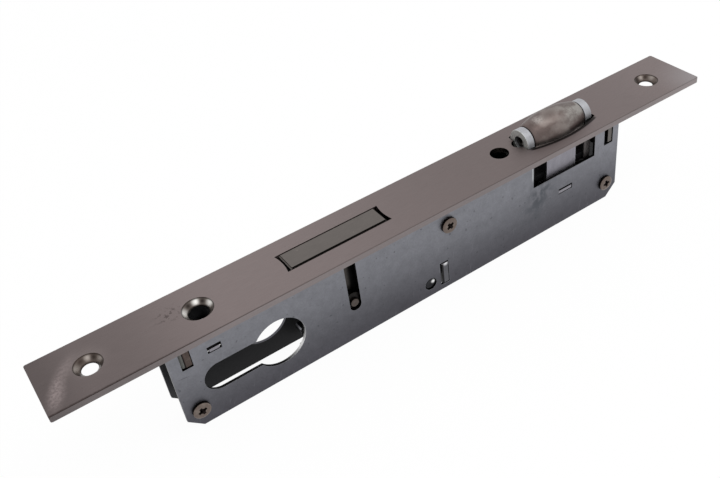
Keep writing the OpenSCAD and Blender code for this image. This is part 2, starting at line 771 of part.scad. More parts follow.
// Points of one coil spring, and one round of its wire
coil_r = (spring_d - spring_wire_d) / 2;
coil_z0 = seat_z1 + spring_wire_d / 2 + plate_play;
coil_z1 = pocket_roof - spring_wire_d / 2 - plate_play;
coil_rings = 8;
coil_sides = 6;
coil_n = coil_rings * spring_turns;
coil_pitch = (coil_z1 - coil_z0) / spring_turns;
function coil_point(i) = let (a = 360 * i / coil_rings)
    [coil_r * cos(a), coil_r * sin(a), coil_z0 + coil_pitch * i / coil_rings];
function coil_ring(i) = let (a = 360 * i / coil_rings, lean = atan(coil_pitch / (2 * PI * coil_r)),
    out = [cos(a), sin(a), 0], up = [sin(a) * sin(lean), -cos(a) * sin(lean), cos(lean)])
    [for (k = [0:coil_sides - 1]) coil_point(i)
        + spring_wire_d / 2 * (cos(360 * k / coil_sides) * out + sin(360 * k / coil_sides) * up)];
coil_gap = min([for (i = [0:coil_n - coil_rings], j = [-1, 0, 1])
    norm(coil_point(min(i + coil_rings + j, coil_n)) - coil_point(i))]) - spring_wire_d;
echo(least_gap_between_spring_turns = coil_gap);

module coil() {
    rings = [for (i = [0:coil_n]) each coil_ring(i)];
    sides = [for (i = [0:coil_n - 1], k = [0:coil_sides - 1]) let (m = (k + 1) % coil_sides,
        a = i * coil_sides + k, b = i * coil_sides + m, c = a + coil_sides, d = b + coil_sides)
        each [[a, d, c], [a, b, d]]];
    first = [for (k = [1:coil_sides - 2]) [0, k + 1, k]];
    base = coil_n * coil_sides;
    last = [for (k = [1:coil_sides - 2]) [base, base + k, base + k + 1]];
    polyhedron(points = rings, faces = concat(sides, first, last));
}

module roller_springs() {
    color("#9aa0a4") for (side = [-1, 1]) translate([roller_x + side * pocket_pitch / 2, 0, 0]) coil();
}

// Cross plate under the springs, held by a tongue in each case plate
module spring_seat() {
    color("#a9abad") {
        cross_plate(roller_x, seat_l, inner_y - plate_play, seat_z1 - seat_t, seat_t);
        cross_plate(seat_tongue_x, seat_tongue_l, outer_y - tongue_under, seat_z1 - seat_t, seat_t);
    }
}

module adjusting_screw() {
    head_z0 = bracket_floor + bracket_t + gap / 3;
    color("#b3b1ac") difference() {
        union() {
            translate([adjust_x, 0, head_z0]) cylinder(d = adjust_head_d, h = adjust_head_h);
            translate([adjust_x, 0, adjust_tip]) cylinder(d = adjust_d, h = head_z0 - adjust_tip);
        }
        translate([adjust_x, 0, head_z0 + adjust_head_h]) cross_recess(recess_l, recess_w, recess_h);
    }
}

// Clip that keeps the adjusting screw in its bracket
module screw_clip() {
    z1 = bracket_floor - gap;
    color("#6d6f70") translate([adjust_x, 0, z1 - clip_t]) difference() {
        cylinder(d = adjust_d + 2 * clip_wall, h = clip_t);
        translate([0, 0, -cut]) cylinder(d = adjust_d + 2 * seat_play, h = clip_t + 2 * cut);
        translate([-clip_mouth / 2, 0, -cut])
            cube([clip_mouth, adjust_d + 2 * clip_wall, clip_t + 2 * cut]);
    }
}

// Bent bracket on the back of the forend that the adjusting screw turns in
module screw_bracket() {
    color("#7b716a") difference() {
        across(gap - inner_y, 2 * (inner_y - gap)) union() {
            box2d([adjust_x - bracket_w / 2, bracket_floor],
                [adjust_x + bracket_w / 2, bracket_floor + bracket_t]);
            for (x = [adjust_x - bracket_w / 2, adjust_x + bracket_w / 2 - bracket_t])
                box2d([x, bracket_floor], [x + bracket_t, case_top]);
        }
        translate([adjust_x, 0, bracket_floor - cut])
            cylinder(d = adjust_d + 2 * pin_play, h = bracket_t + 2 * cut);
    }
}

// Nut block that climbs on the adjusting screw; its finger stops the carriage's toe
module adjusting_yoke() {
    finger_x1 = roller_x - carriage_l / 2 - finger_end_room;
    color("#a9a49c") difference() {
        union() {
            box3d([adjust_x - yoke_w / 2, -inner_y + gap, yoke_top - yoke_h],
                [adjust_x + yoke_w / 2, inner_y - gap, yoke_top]);
            box3d([adjust_x, -base_y, yoke_top - finger_t], [finger_x1, base_y, yoke_top]);
        }
        translate([adjust_x, 0, yoke_top - yoke_h - cut])
            cylinder(d = adjust_d + 2 * pin_play, h = yoke_h + 2 * cut);
    }
}

forend();
lower_lug();
upper_lug();
case_body();
case_cover();
cover_posts();
cover_screws();
screw_guide();
deadbolt();
bolt_guide_pin();
bolt_washers();
drive_lever();
lever_pivot();
lever_spacers();
spring_anchor();
detent_spring();
roller_carriage();
roller();
roller_pin();
roller_springs();
spring_seat();
adjusting_screw();
screw_clip();
screw_bracket();
adjusting_yoke();
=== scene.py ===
# %% [markdown]
# # A roller mortise lock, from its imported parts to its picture
#
# The lock's shapes, sizes and joints come from the CAD model, which is loaded here and never moved.
# This notebook gives it what a CAD model lacks: eased edges, turned and wound pieces that stay round
# close up, and finishes with grain, plating, tool marks and wear. Lengths are typed in millimetres,
# because that is how a lock is dimensioned, and are turned into Blender's metres by one factor.

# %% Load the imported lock
import json
import math
import bpy
from mathutils import Matrix, Vector


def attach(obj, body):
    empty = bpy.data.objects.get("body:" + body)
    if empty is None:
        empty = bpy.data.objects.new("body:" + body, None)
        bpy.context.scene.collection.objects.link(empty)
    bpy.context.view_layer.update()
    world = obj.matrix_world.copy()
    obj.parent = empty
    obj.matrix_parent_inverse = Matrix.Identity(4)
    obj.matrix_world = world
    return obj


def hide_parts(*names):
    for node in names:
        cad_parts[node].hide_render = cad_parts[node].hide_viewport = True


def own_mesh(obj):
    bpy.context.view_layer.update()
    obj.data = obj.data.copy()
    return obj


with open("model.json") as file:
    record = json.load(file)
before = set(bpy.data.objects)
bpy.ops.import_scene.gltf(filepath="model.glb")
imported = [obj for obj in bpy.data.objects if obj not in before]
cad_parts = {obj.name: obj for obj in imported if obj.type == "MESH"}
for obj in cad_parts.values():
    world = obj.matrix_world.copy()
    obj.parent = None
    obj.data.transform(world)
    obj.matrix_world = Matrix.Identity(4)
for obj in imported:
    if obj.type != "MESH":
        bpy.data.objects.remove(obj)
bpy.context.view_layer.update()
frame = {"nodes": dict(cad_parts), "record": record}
MM = 0.001


def new_object(name, data):
    """A new object in the scene, at the origin."""
    made = bpy.data.objects.new(name, data)
    bpy.context.scene.collection.objects.link(made)
    return made


# %% [markdown]
# ## The camera
#
# The photograph looks down on the forend from the lower left, at a lens that makes the near end
# clearly larger. The place and turn below come from matching the forend's corners, the case's corners
# and the cylinder's opening. A camera aimed with Track To would do for a rough view, but three
# measured directions keep the slight tilt of the picture as well. The lens shift is small, because
# the photograph was cropped a little off its centre.

# %% Camera at the photograph's viewpoint
PHOTO_W, PHOTO_H = 720, 478
FOCAL_PX = 885.58
CENTRE_X_PX, CENTRE_Y_PX = 393.64, 217.84
CAMERA_AT = (-113.904, -183.318, 165.157)
view_right = Vector((0.816211, -0.569395, -0.097918))
view_up = Vector((0.419880, 0.468174, 0.777513))
view_forward = Vector((0.396874, 0.675727, -0.621196))
camera_lens = bpy.data.cameras.new("photo_camera")
camera_lens.sensor_width = 36
camera_lens.lens = FOCAL_PX * camera_lens.sensor_width / PHOTO_W
camera_lens.shift_x = (PHOTO_W / 2 - CENTRE_X_PX) / PHOTO_W
camera_lens.shift_y = (CENTRE_Y_PX - PHOTO_H / 2) / PHOTO_W
camera_lens.clip_start = 5 * MM
camera = new_object("photo_camera", camera_lens)
turn = Matrix((view_right, view_up, -view_forward)).transposed().to_4x4()
camera.matrix_world = Matrix.Translation(Vector(CAMERA_AT) * MM) @ turn
bpy.context.scene.camera = camera
print("lens", round(camera_lens.lens, 2), "mm, shift",
      round(camera_lens.shift_x, 4), round(camera_lens.shift_y, 4))

# %% [markdown]
# ## Shader maths in Python
#
# A finish is a network of nodes. Wiring it by hand takes a line for each link, so three small
# classes do the wiring: a Wire is one output socket that can be added, subtracted or multiplied like
# a number, Nodes makes nodes and plugs them in, and a Finish is a material that does so with the
# parts of a recipe. Written this way, a finish reads like the recipe it is: a base colour, times
# some mottling, plus some scratches.

# %% Wire, Nodes and Finish
class Wire:
    """One value on its way through a node tree."""

    def __init__(self, nodes, socket):
        self.nodes = nodes
        self.socket = socket

    def maths(self, operation, first, second):
        return self.nodes.node("ShaderNodeMath", {"operation": operation}, {0: first, 1: second})

    def __add__(self, other):
        return self.maths("ADD", self, other)

    __radd__ = __add__

    def __mul__(self, other):
        return self.maths("MULTIPLY", self, other)

    __rmul__ = __mul__

    def __sub__(self, other):
        return self.maths("SUBTRACT", self, other)

    def __rsub__(self, other):
        return self.maths("SUBTRACT", other, self)


class Nodes:
    """A node tree with a method that makes, sets and plugs any node."""

    def __init__(self, tree):
        self.tree = tree

    def plug(self, socket, value):
        if isinstance(value, Wire):
            self.tree.links.new(value.socket, socket)
        elif hasattr(value, "__len__") and len(value) == 3 and socket.type == "RGBA":
            socket.default_value = (*value, 1)
        else:
            socket.default_value = value

    def node(self, kind, settings=None, sockets=None, out=0):
        made = self.tree.nodes.new(kind)
        for name, value in (settings or {}).items():
            setattr(made, name, value)
        for name, value in (sockets or {}).items():
            self.plug(made.inputs[name], value)
        return Wire(self, made.outputs[out])


class Finish(Nodes):
    """A material, its shader and the methods of its recipe."""

    def __init__(self, name, metallic=1.0):
        self.material = bpy.data.materials.new(name)
        self.material.use_nodes = True
        super().__init__(self.material.node_tree)
        self.shader = self.tree.nodes["Principled BSDF"]
        self.shader.inputs["Metallic"].default_value = metallic

    def place(self, middle=(0, 0, 0), turn=(0, 0, 0), stretch=(1, 1, 1)):
        """Object coordinates, moved to a middle in mm, turned in degrees and stretched."""
        where = self.node("ShaderNodeTexCoord", out="Object")
        return self.node("ShaderNodeMapping", {"vector_type": "TEXTURE"}, {
            "Vector": where,
            "Location": [v * MM for v in middle],
            "Rotation": [math.radians(v) for v in turn],
            "Scale": stretch})

    def noise(self, grain, detail=2.0, rough=0.5, at=None):
        """Noise whose blotches are about grain mm across."""
        return self.node("ShaderNodeTexNoise", None, {
            "Vector": at or self.place(), "Scale": 1 / (grain * MM),
            "Detail": detail, "Roughness": rough})

    def fade(self, value, start, end, low=0.0, high=1.0):
        """value's run from start to end, mapped to low..high and held outside."""
        return self.node("ShaderNodeMapRange", {"interpolation_type": "SMOOTHSTEP"}, {
            "Value": value, "From Min": start, "From Max": end, "To Min": low, "To Max": high})

    def along(self, axis, start, end, low=0.0, high=1.0):
        """A fade along one object axis, between two places in mm."""
        where = self.node("ShaderNodeTexCoord", out="Object")
        parts = self.node("ShaderNodeSeparateXYZ", None, {"Vector": where}, out=axis)
        return self.fade(parts, start * MM, end * MM, low, high)

    def until(self, axis, full, gone):
        """1 up to one place along an object axis, falling to 0 at the next, both in mm."""
        return self.along(axis, full, gone, 1.0, 0.0)

    def distance(self, middle, stretch=(1, 1, 1), turn=(0, 0, 0)):
        """Distance from a middle in mm; an axis that is stretched 1000 times hardly counts."""
        return self.node("ShaderNodeVectorMath", {"operation": "LENGTH"},
                         {0: self.place(middle, turn, stretch)}, out="Value")

    def near(self, middle, reach, stretch=(1, 1, 1), turn=(0, 0, 0)):
        """1 at a middle in mm, falling to 0 at reach mm from it."""
        return self.fade(self.distance(middle, stretch, turn), reach * MM, 0.0)

    def blend(self, factor, first, second):
        """A colour between two colours."""
        made = self.tree.nodes.new("ShaderNodeMix")
        made.data_type = "RGBA"
        self.plug(made.inputs[0], factor)
        self.plug(made.inputs[6], first)
        self.plug(made.inputs[7], second)
        return Wire(self, made.outputs[2])

    def shade(self, colour, amount):
        """A colour made lighter or darker by a factor."""
        return self.node("ShaderNodeVectorMath", {"operation": "SCALE"}, {0: colour, "Scale": amount})

    def done(self, colour, rough, height, depth):
        """The material, with a relief that stands height x depth mm proud."""
        relief = self.node("ShaderNodeBump", None, {
            "Height": height, "Distance": depth * MM, "Strength": 1.0})
        for socket, value in (("Base Color", colour), ("Roughness", rough), ("Normal", relief)):
            self.plug(self.shader.inputs[socket], value)
        print("finish", self.material.name, "has", len(self.tree.nodes), "nodes")
        return self.material


def tone(red, green, blue):
    """A colour as a paint program shows it, 0-255, as the linear light that shaders use."""
    return tuple(((v / 255 + 0.055) / 1.055) ** 2.4 for v in (red, green, blue))


# %% [markdown]
# ## The forend's satin nickel
#
# The forend is plated a warm, slightly pink grey and brushed to a satin. Close up it shows a fine
# grain, faint lines along its length, and cloudy patches from handling. An image of brushed metal
# would repeat and stretch, so the grain is noise at two sizes, one of them drawn out along the plate.
# The plate is darker at its left end, with a pale band of painted sheen across it, a reflection on
# the slightly wavy plate, and a pale halo round its fixing hole, and lighter at its right end and far
# corner. A thin line of painted shade runs along the near top edge, darker and wider at the left end,
# and the near side face is painted lighter, as the light falls on it. Small scuffs lie beside the
# cylinder screw's hole, and painted shade lies along the near side of the roller's opening, which is
# an arc, so the shade is a ring round its centre.

# %% Finish: forend_satin
FIXING_X = (-103.4, 103.4)
CYLINDER_SCREW_X = -71.8
ARC_X, ARC_Y, ARC_R = 59.45, 38.8, 45.35


def satin_nickel():
    finish = Finish("forend_satin")
    clouds = finish.noise(38, 3.0)
    brushed = finish.noise(0.35, 4.0, 0.6, finish.place(stretch=(14, 1, 1)))
    grain = finish.noise(0.32, 2.0, 0.7)
    pits = finish.fade(finish.noise(1.1, 2.0, 0.6), 0.68, 0.76)
    left_end = finish.along("X", -98, -64, 0.76, 1.06) * finish.along("X", -117, -104, 0.78, 1.0)
    right_end = finish.along("X", 86, 119, 1.0, 1.12) * (1 - 0.14 * finish.near((20, 0, 0), 85))
    amount = (0.93 + 0.14 * clouds) * (0.88 + 0.24 * brushed) * (0.85 + 0.30 * grain)
    amount = amount * left_end * right_end
    colour = finish.shade(tone(117, 107, 106), amount)
    colour = finish.blend(pits * 0.25, colour, tone(74, 66, 64))
    ragged = finish.fade(finish.noise(0.8, 4.0, 0.7), 0.35, 0.65, 0.35, 1.0)
    # Painted sheen: a pale band across the left end, a reflection on the slightly wavy plate.
    wear_and_sheen = (finish.near((-113.6, -5, 0), 8, (0.42, 1.0, 1.0), (0, 0, -24))
              + finish.near((-109.8, 1.6, 0), 9, (0.34, 1.0, 1.0), (0, 0, -40)) * 0.6)
    colour = finish.blend(wear_and_sheen * ragged * 0.9, colour, tone(146, 134, 133))
    halo = finish.near((FIXING_X[0], 1.2, 0), 7.5) * finish.fade(grain, 0.35, 0.65, 0.5, 1.0)
    colour = finish.blend(halo * 0.35, colour, tone(146, 136, 133))
    specks = finish.fade(finish.noise(1.2, 3.0, 0.6), 0.53, 0.60)
    scuffs = finish.near((-79, 3, 0), 6.5, (1.0, 0.7, 1.0)) * specks
    colour = finish.blend(scuffs * 0.7, colour, tone(66, 57, 56))
    corner = finish.near((120, -12, 0), 19)
    colour = finish.blend(corner * 0.7, colour, tone(156, 152, 154))
    # Painted shade in a thin line along the near top edge, darker and wider at the left end; the near
    # side face is painted lighter, as the light falls on it.
    top = finish.along("Z", -0.16, -0.06)
    arris_shade = finish.until("Y", -10.78, -10.6) * top * finish.along("X", -100, -20, 1.0, 0.45)
    arris_shade_left = finish.until("Y", -10.55, -10.25) * top * finish.until("X", -104, -66)
    edge = finish.until("Y", -10.97, -10.93) * finish.until("Z", -0.16, -0.10)
    colour = finish.blend(arris_shade_left * ragged * 0.8, colour, tone(58, 48, 46))
    colour = finish.blend(arris_shade * 0.75, colour, tone(54, 46, 45))
    colour = finish.blend(edge, colour, finish.shade(tone(136, 128, 128), amount))
    # Painted shade along the near side of the roller's opening, a ring round the arc's centre.
    from_arc = finish.distance((ARC_X, ARC_Y, 0), (1, 1, 1000))
    gap_shade = (finish.fade(from_arc, (ARC_R + 0.8) * MM, (ARC_R + 1.3) * MM, 1.0, 0.0)
           * finish.until("Y", -3.4, -3.0) * finish.along("X", 44.4, 46)
           * finish.until("X", 73, 74.4))
    colour = finish.blend(gap_shade * 0.92, colour, tone(22, 19, 18))
    rough = 0.36 + 0.12 * clouds + 0.08 * grain
    height = brushed * 0.5 + grain * 0.5 - pits * 0.6
    return finish.done(colour, rough, height, 0.006)


forend_satin = satin_nickel()

# %% [markdown]
# ## The forend's countersinks
#
# The countersinks are cut after plating and left bare. The two for the fixing screws have dulled to a
# brownish grey, the cylinder screw's is brighter, and each has painted shade on its rolled lip and in
# its throat, with painted highlights and spots of painted shade round it. Rings of tone by the distance
# from the hole's axis do this, with soft spots on them, which needs no seam in the metal.

# %% Finish: countersinks
HIGHLIGHT_SPOT, SHADE_SPOT = "light", "shade_mark"
# Painted highlights and shade round a cone: across, up and reach, all in mouth radii, and what they are
CONE_SPOTS = ((-0.8, 0.2, 0.62, HIGHLIGHT_SPOT), (-0.32, 0.78, 0.4, SHADE_SPOT), (0.18, 0.82, 0.34, HIGHLIGHT_SPOT),
              (0.56, 0.62, 0.34, SHADE_SPOT), (0.92, 0.15, 0.45, HIGHLIGHT_SPOT))
CONE_MID_Z = -0.8
FIXING_MOUTH_R, CYLINDER_MOUTH_R = 4.1, 4.6


def countersink(name, middle, body, throat, mouth, dark, light, glare):
    """Bare metal whose tone changes from the throat radius to the mouth radius, in mm."""
    finish = Finish(name)
    away = finish.distance(middle, (1, 1, 1000))
    marks = finish.noise(0.3, 3.0, 0.6)
    # Painted shade on the rolled lip and in the throat.
    lip = finish.fade(away, (mouth - 0.45) * MM, (mouth - 0.1) * MM)
    deep = finish.fade(away, throat * MM, (throat + 0.4) * MM, 1.0, 0.0)
    colour = finish.shade(body, 0.86 + 0.28 * marks)
    # Painted highlights and spots of painted shade round the cone.
    for across, up, wide, kind in CONE_SPOTS:
        place = (middle[0] + across * mouth, middle[1] + up * mouth, CONE_MID_Z)
        mark = light if kind == HIGHLIGHT_SPOT else dark
        colour = finish.blend(finish.near(place, mouth * wide) * glare, colour, mark)
    colour = finish.blend(lip * 0.8, colour, dark)
    colour = finish.blend(deep * 0.85, colour, dark)
    rough = 0.30 + 0.12 * marks
    return finish.done(colour, rough, marks, 0.004)


fixing_cones = [countersink(name, (x, 0, 0), tone(92, 83, 78), 2.3, FIXING_MOUTH_R,
                            tone(40, 32, 29), tone(160, 152, 146), 0.8)
                for name, x in zip(("left_cone", "right_cone"), FIXING_X)]
cylinder_cone = countersink("cylinder_cone", (CYLINDER_SCREW_X, 0, 0), tone(110, 102, 97), 3.0,
                            CYLINDER_MOUTH_R, tone(30, 25, 23), tone(236, 234, 230), 0.9)

# %% [markdown]
# ## Zinc-plated sheet
#
# The case is pressed from sheet and zinc plated: a cool blue grey with a very fine speckle and thin
# upright scratches from the press and from handling. Painted shade deepens towards the edge that sits
# deepest in the door, and inside, the case is painted nearly black as shade. The cover alone has a
# dull smudge under the roller, a short scribed line near its left edge and a painted highlight in an
# upright line beside its big window.

# %% Finish: zinc_plate
def zinc_sheet(name, outer):
    finish = Finish(name)
    speckle = finish.noise(0.7, 3.0, 0.65)
    clouds = finish.noise(16, 3.0)
    mottle = finish.noise(3.2, 3.0, 0.6)
    upright = finish.noise(0.5, 2.0, 0.5, finish.place(turn=(0, 12, 0), stretch=(1, 1, 12)))
    scratches = finish.fade(upright, 0.67, 0.75)
    dots = finish.fade(finish.noise(1.3, 1.0, 0.4), 0.70, 0.77)
    # Painted shade, darker towards the lower edge.
    deep = finish.along("Z", -38, -6)
    colour = finish.blend(deep, tone(77, 76, 82), tone(133, 134, 140))
    right_end = finish.along("X", 56, 84, 1.0, 1.13)
    amount = (0.94 + 0.12 * clouds) * (0.78 + 0.44 * speckle) * (0.80 + 0.40 * mottle) * right_end
    colour = finish.shade(colour, amount)
    colour = finish.blend(scratches * 0.14, colour, tone(160, 162, 168))
    colour = finish.blend(dots * 0.45, colour, tone(62, 62, 66))
    if outer:
        smudge = (finish.near((48, -6, -19), 12, (0.7, 1.0, 1.3), (0, 30, 0))
                  * finish.fade(finish.noise(3, 3.0), 0.36, 0.6))
        colour = finish.blend(smudge * 0.8, colour, tone(74, 78, 84))
        scribe = finish.near((-82.8, -6.3, -15.2), 2.4, (1.0, 1.0, 0.06), (0, 8, 0))
        colour = finish.blend(scribe * 0.8, colour, tone(50, 50, 54))
        # A painted highlight in an upright line beside the big window.
        rim_highlight = (finish.along("X", 44.3, 44.7) * finish.until("X", 45.1, 45.3)
                   * finish.along("Z", -13, -10))
        colour = finish.blend(rim_highlight * 0.8, colour, tone(190, 193, 196))
    # Painted shade: the inside of the case is nearly black, darkest at its left end.
    inside = finish.until("Y", 5.3, 5.45) * finish.along("Y", -5.45, -5.3)
    dark = finish.blend(finish.until("X", -83.5, -80), tone(37, 37, 38), tone(58, 58, 60))
    colour = finish.blend(inside * 0.96, colour, finish.shade(dark, 0.7 + 0.6 * speckle))
    rough = 0.40 + 0.14 * clouds + 0.10 * speckle
    height = speckle * 0.7 - scratches * 0.5
    return finish.done(colour, rough, height, 0.008)


zinc_plate = zinc_sheet("zinc_plate", False)
zinc_cover = zinc_sheet("zinc_cover", True)

# %% [markdown]
# ## The other metals
#
# Bare and ground steels differ by their tone, by how far their grain is drawn out and by how sharply
# they reflect. One recipe takes these as numbers, so each piece still gets its own finish: the stamped
# lever, the springs, the bright pins and the nickelled screws. A glint is a painted highlight, such as
# the one on the rounded side of a pin's end, and a shade band is painted shade on a side that the
# light doesn't reach. Several finishes are painted dark all over as shade, for pieces that sit in holes
# or inside the case.

# %% Finish: worked steels
def worked_steel(name, body, rough, grain, drawn, contrast, worn=None, glints=(), shade_bands=()):
    """Steel with lines drawn out by a stretch.

    Glints are painted highlights, (middle, reach, colour), and shade_bands are painted shade, (axis,
    unshaded, dark), all in mm.
    """
    finish = Finish(name)
    lines = finish.noise(grain, 4.0, 0.6, finish.place(stretch=drawn))
    fine = finish.noise(grain * 0.6, 2.0, 0.6)
    clouds = finish.noise(7, 3.0)
    amount = (1 - contrast) + 2 * contrast * (lines * 0.45 + fine * 0.2 + clouds * 0.35)
    colour = finish.shade(body, amount)
    if worn:
        wear_and_sheen = finish.fade(finish.noise(5, 4.0, 0.7), 0.52, 0.66)
        colour = finish.blend(wear_and_sheen * 0.5, colour, worn)
    # Painted highlights.
    for middle, reach, light in glints:
        colour = finish.blend(finish.near(middle, reach), colour, light)
    # Painted shade along the listed sides.
    for axis, unshaded, dark in shade_bands:
        colour = finish.blend(finish.along(axis, unshaded, dark) * 0.9, colour, tone(22, 20, 20))
    roughness = rough + 0.12 * (clouds - 0.5) + 0.08 * (fine - 0.5)
    return finish.done(colour, roughness, lines, 0.005)


EVEN = (1, 1, 1)
screw_nickel = worked_steel("screw_nickel", tone(106, 95, 89), 0.32, 0.25, EVEN, 0.25,
                            tone(134, 125, 118))
screw_shade = worked_steel("screw_shade", tone(30, 25, 24), 0.4, 0.25, EVEN, 0.25)
bright_steel = worked_steel("bright_steel", tone(160, 158, 162), 0.28, 0.5, (1, 8, 1), 0.10)
lever_steel = worked_steel("lever_steel", tone(46, 46, 49), 0.40, 0.4, (6, 1, 1), 0.22,
                           glints=(((-46.7, -1.6, -20.8), 2.2, tone(240, 240, 242)),
                                   ((-45.0, -1.6, -25.4), 2.6, tone(126, 126, 130))))
spring_steel = worked_steel("spring_steel", tone(74, 75, 78), 0.30, 0.15, EVEN, 0.14)
# Painted dark as shade, for the washers and spacers inside the case.
shaded_steel = worked_steel("shaded_steel", tone(34, 32, 31), 0.36, 0.3, EVEN, 0.25)
pin_steel = worked_steel("pin_steel", tone(82, 75, 71), 0.34, 0.25, EVEN, 0.2)
# Painted dark as shade, for pin ends and the adjuster's head deep in their holes, each with a painted
# glint.
pivot_steel = worked_steel("pivot_steel", tone(38, 38, 41), 0.30, 0.25, EVEN, 0.2,
                           glints=(((2.1, -6.0, -30.7), 1.1, tone(250, 250, 250)),))
axle_steel = worked_steel("axle_steel", tone(42, 37, 34), 0.28, 0.25, EVEN, 0.2,
                          glints=(((46, 0.0, -0.4), 0.9, tone(250, 244, 236)),))
adjuster_steel = worked_steel("adjuster_steel", tone(40, 37, 36), 0.30, 0.2, EVEN, 0.25,
                              glints=(((37.8, -1.2, -4.7), 1.1, tone(196, 194, 190)),))
# A painted highlight along the anchor's top and painted shade down its left side.
anchor_steel = worked_steel("anchor_steel", tone(92, 92, 96), 0.36, 0.3, (1, 1, 6), 0.4,
                            glints=(((7.4, -6.1, -25.8), 1.4, tone(236, 236, 238)),),
                            shade_bands=(("X", 6.55, 6.35),))
tab_end = worked_steel("tab_end", tone(138, 136, 142), 0.34, 0.5, EVEN, 0.2)
# Painted shade down the lower lug's left and right sides.
lug_steel = worked_steel("lug_steel", tone(80, 70, 66), 0.40, 0.45, (1, 1, 4), 0.9,
                         tone(112, 104, 98), shade_bands=(("X", -80.9, -81.2), ("X", -78.6, -78.2)))
upper_lug_steel = worked_steel("upper_lug_steel", tone(104, 101, 98), 0.40, 0.45, (1, 1, 5), 0.3)
lug_side = worked_steel("lug_side", tone(84, 86, 80), 0.40, 0.4, (1, 1, 5), 0.35)
# Painted highlights on the cover's rims, beside the profile opening's round end and the big window.
cut_edge = worked_steel("cut_edge", tone(128, 129, 133), 0.30, 0.15, (1, 10, 1), 0.25,
                        glints=(((-44.2, -6.2, -26), 13, tone(250, 250, 252)),
                                ((45.2, -6.1, -6), 5.0, tone(190, 192, 196))))
# Painted dark as shade, with a painted highlight on the wall at the profile opening's round end.
cut_wall_shade = worked_steel("cut_wall_shade", tone(26, 25, 26), 0.40, 0.15, (1, 10, 1), 0.3,
                        glints=(((-44.6, -5.8, -26), 9.5, tone(252, 252, 252)),))
# Painted dark as shade, with painted highlights in the access hole and a lighter painted patch at the
# bolt opening's right end.
forend_wall_shade = worked_steel("forend_wall_shade", tone(26, 23, 22), 0.40, 0.15, (1, 10, 1), 0.3,
                           glints=(((39.7, 0.9, -1.9), 1.1, tone(250, 246, 240)),
                                   ((38.4, 3.0, -1.0), 3.2, tone(96, 88, 83)),
                                   ((-9.5, 0.8, 0.2), 2.2, tone(118, 108, 107))))

# %% [markdown]
# ## The ground bolt, the turned roller and the cast carriage
#
# The deadbolt is ground on its end and painted dark as shade just inside the forend, along the near
# edge of its end, and in a band where its cheek passes the case's guide slot. The roller is turned
# and polished, then dulled by the strike plate, so it is mottled: large cloudy warm patches on a
# smoother grey that is lighter to the right, four listed patches, two of them painted highlights, one
# painted shade that dims the lamps' highlight and one a darker brown, and faint rings round it from
# the tool. Its ends are painted black as shade beside the carriage's ears. The carriage is die-cast
# zinc, paler and matt, with the fine frost of a casting that was never machined. Painted shade darkens
# it inside the case, beside the roller's ends, in the pin's recess, where its ears stand in the
# forend's opening and along the block's lower edge in its window, and its left ear's end face is
# painted lighter, as the light falls on it.

# %% Finish: bolt_steel, roller_steel and zinc_cast
ROLLER_AT = (59, 0.6, 0.3)
ROLLER_HALF = 11.0
# The black of painted shade.
SHADE_BLACK = tone(20, 19, 19)
# Patches on the roller, (middle, reach, colour): painted shade where the lamps' highlight falls, a
# darker brown patch, and two painted highlights.
ROLLER_SHADE_AND_HIGHLIGHTS = (((57.0, -1.5, 6.3), 3.6, tone(92, 80, 77)),
                ((61.5, 3.0, 6.3), 3.2, tone(100, 87, 84)),
                ((52.4, 0.2, 6.0), 2.8, tone(184, 178, 174)),
                ((65.0, -2.4, 5.4), 5.0, tone(152, 149, 145)))


def ground_bolt():
    finish = Finish("bolt_steel")
    lines = finish.noise(0.3, 4.0, 0.6, finish.place(stretch=(12, 1, 1)))
    clouds = finish.noise(6, 3.0)
    nicks = finish.fade(finish.noise(1.8, 3.0, 0.6), 0.66, 0.74)
    colour = finish.shade(tone(98, 93, 90), (0.84 + 0.32 * lines) * (0.86 + 0.28 * clouds))
    colour = finish.blend(nicks * 0.4, colour, tone(132, 126, 120))
    # Painted shade on the bolt's sides just below its top, apart from its end face.
    side_shade = (finish.until("Z", -0.22, -0.08) * finish.along("Z", -5, -2.2)
              * finish.until("Y", 4.4, 4.6))
    unshaded_end = finish.until("X", -43.3, -43.1) * finish.along("Z", -1.0, -0.8)
    colour = finish.blend(side_shade * (1 - unshaded_end) * 0.94, colour, tone(24, 22, 21))
    # Painted shade along the near edge of its end.
    near_edge_shade = (finish.until("Y", -2.75, -2.4) * finish.along("Z", -0.6, -0.3)
                 * finish.along("X", -44, -30, 0.1, 1.0))
    colour = finish.blend(near_edge_shade * 0.85, colour, tone(34, 31, 29))
    # Painted shadow in a band where the cheek passes the guide slot.
    slot_shadow = (finish.until("Z", -5, -2.2) * finish.along("X", -29.4, -29.0)
              * finish.along("X", -27.0, -25.6, 0.4, 1.0) * finish.until("X", -22.8, -22.2))
    colour = finish.blend(slot_shadow * 0.95, colour, tone(22, 21, 21))
    rough = 0.42 + 0.1 * clouds
    return finish.done(colour, rough, lines, 0.005)


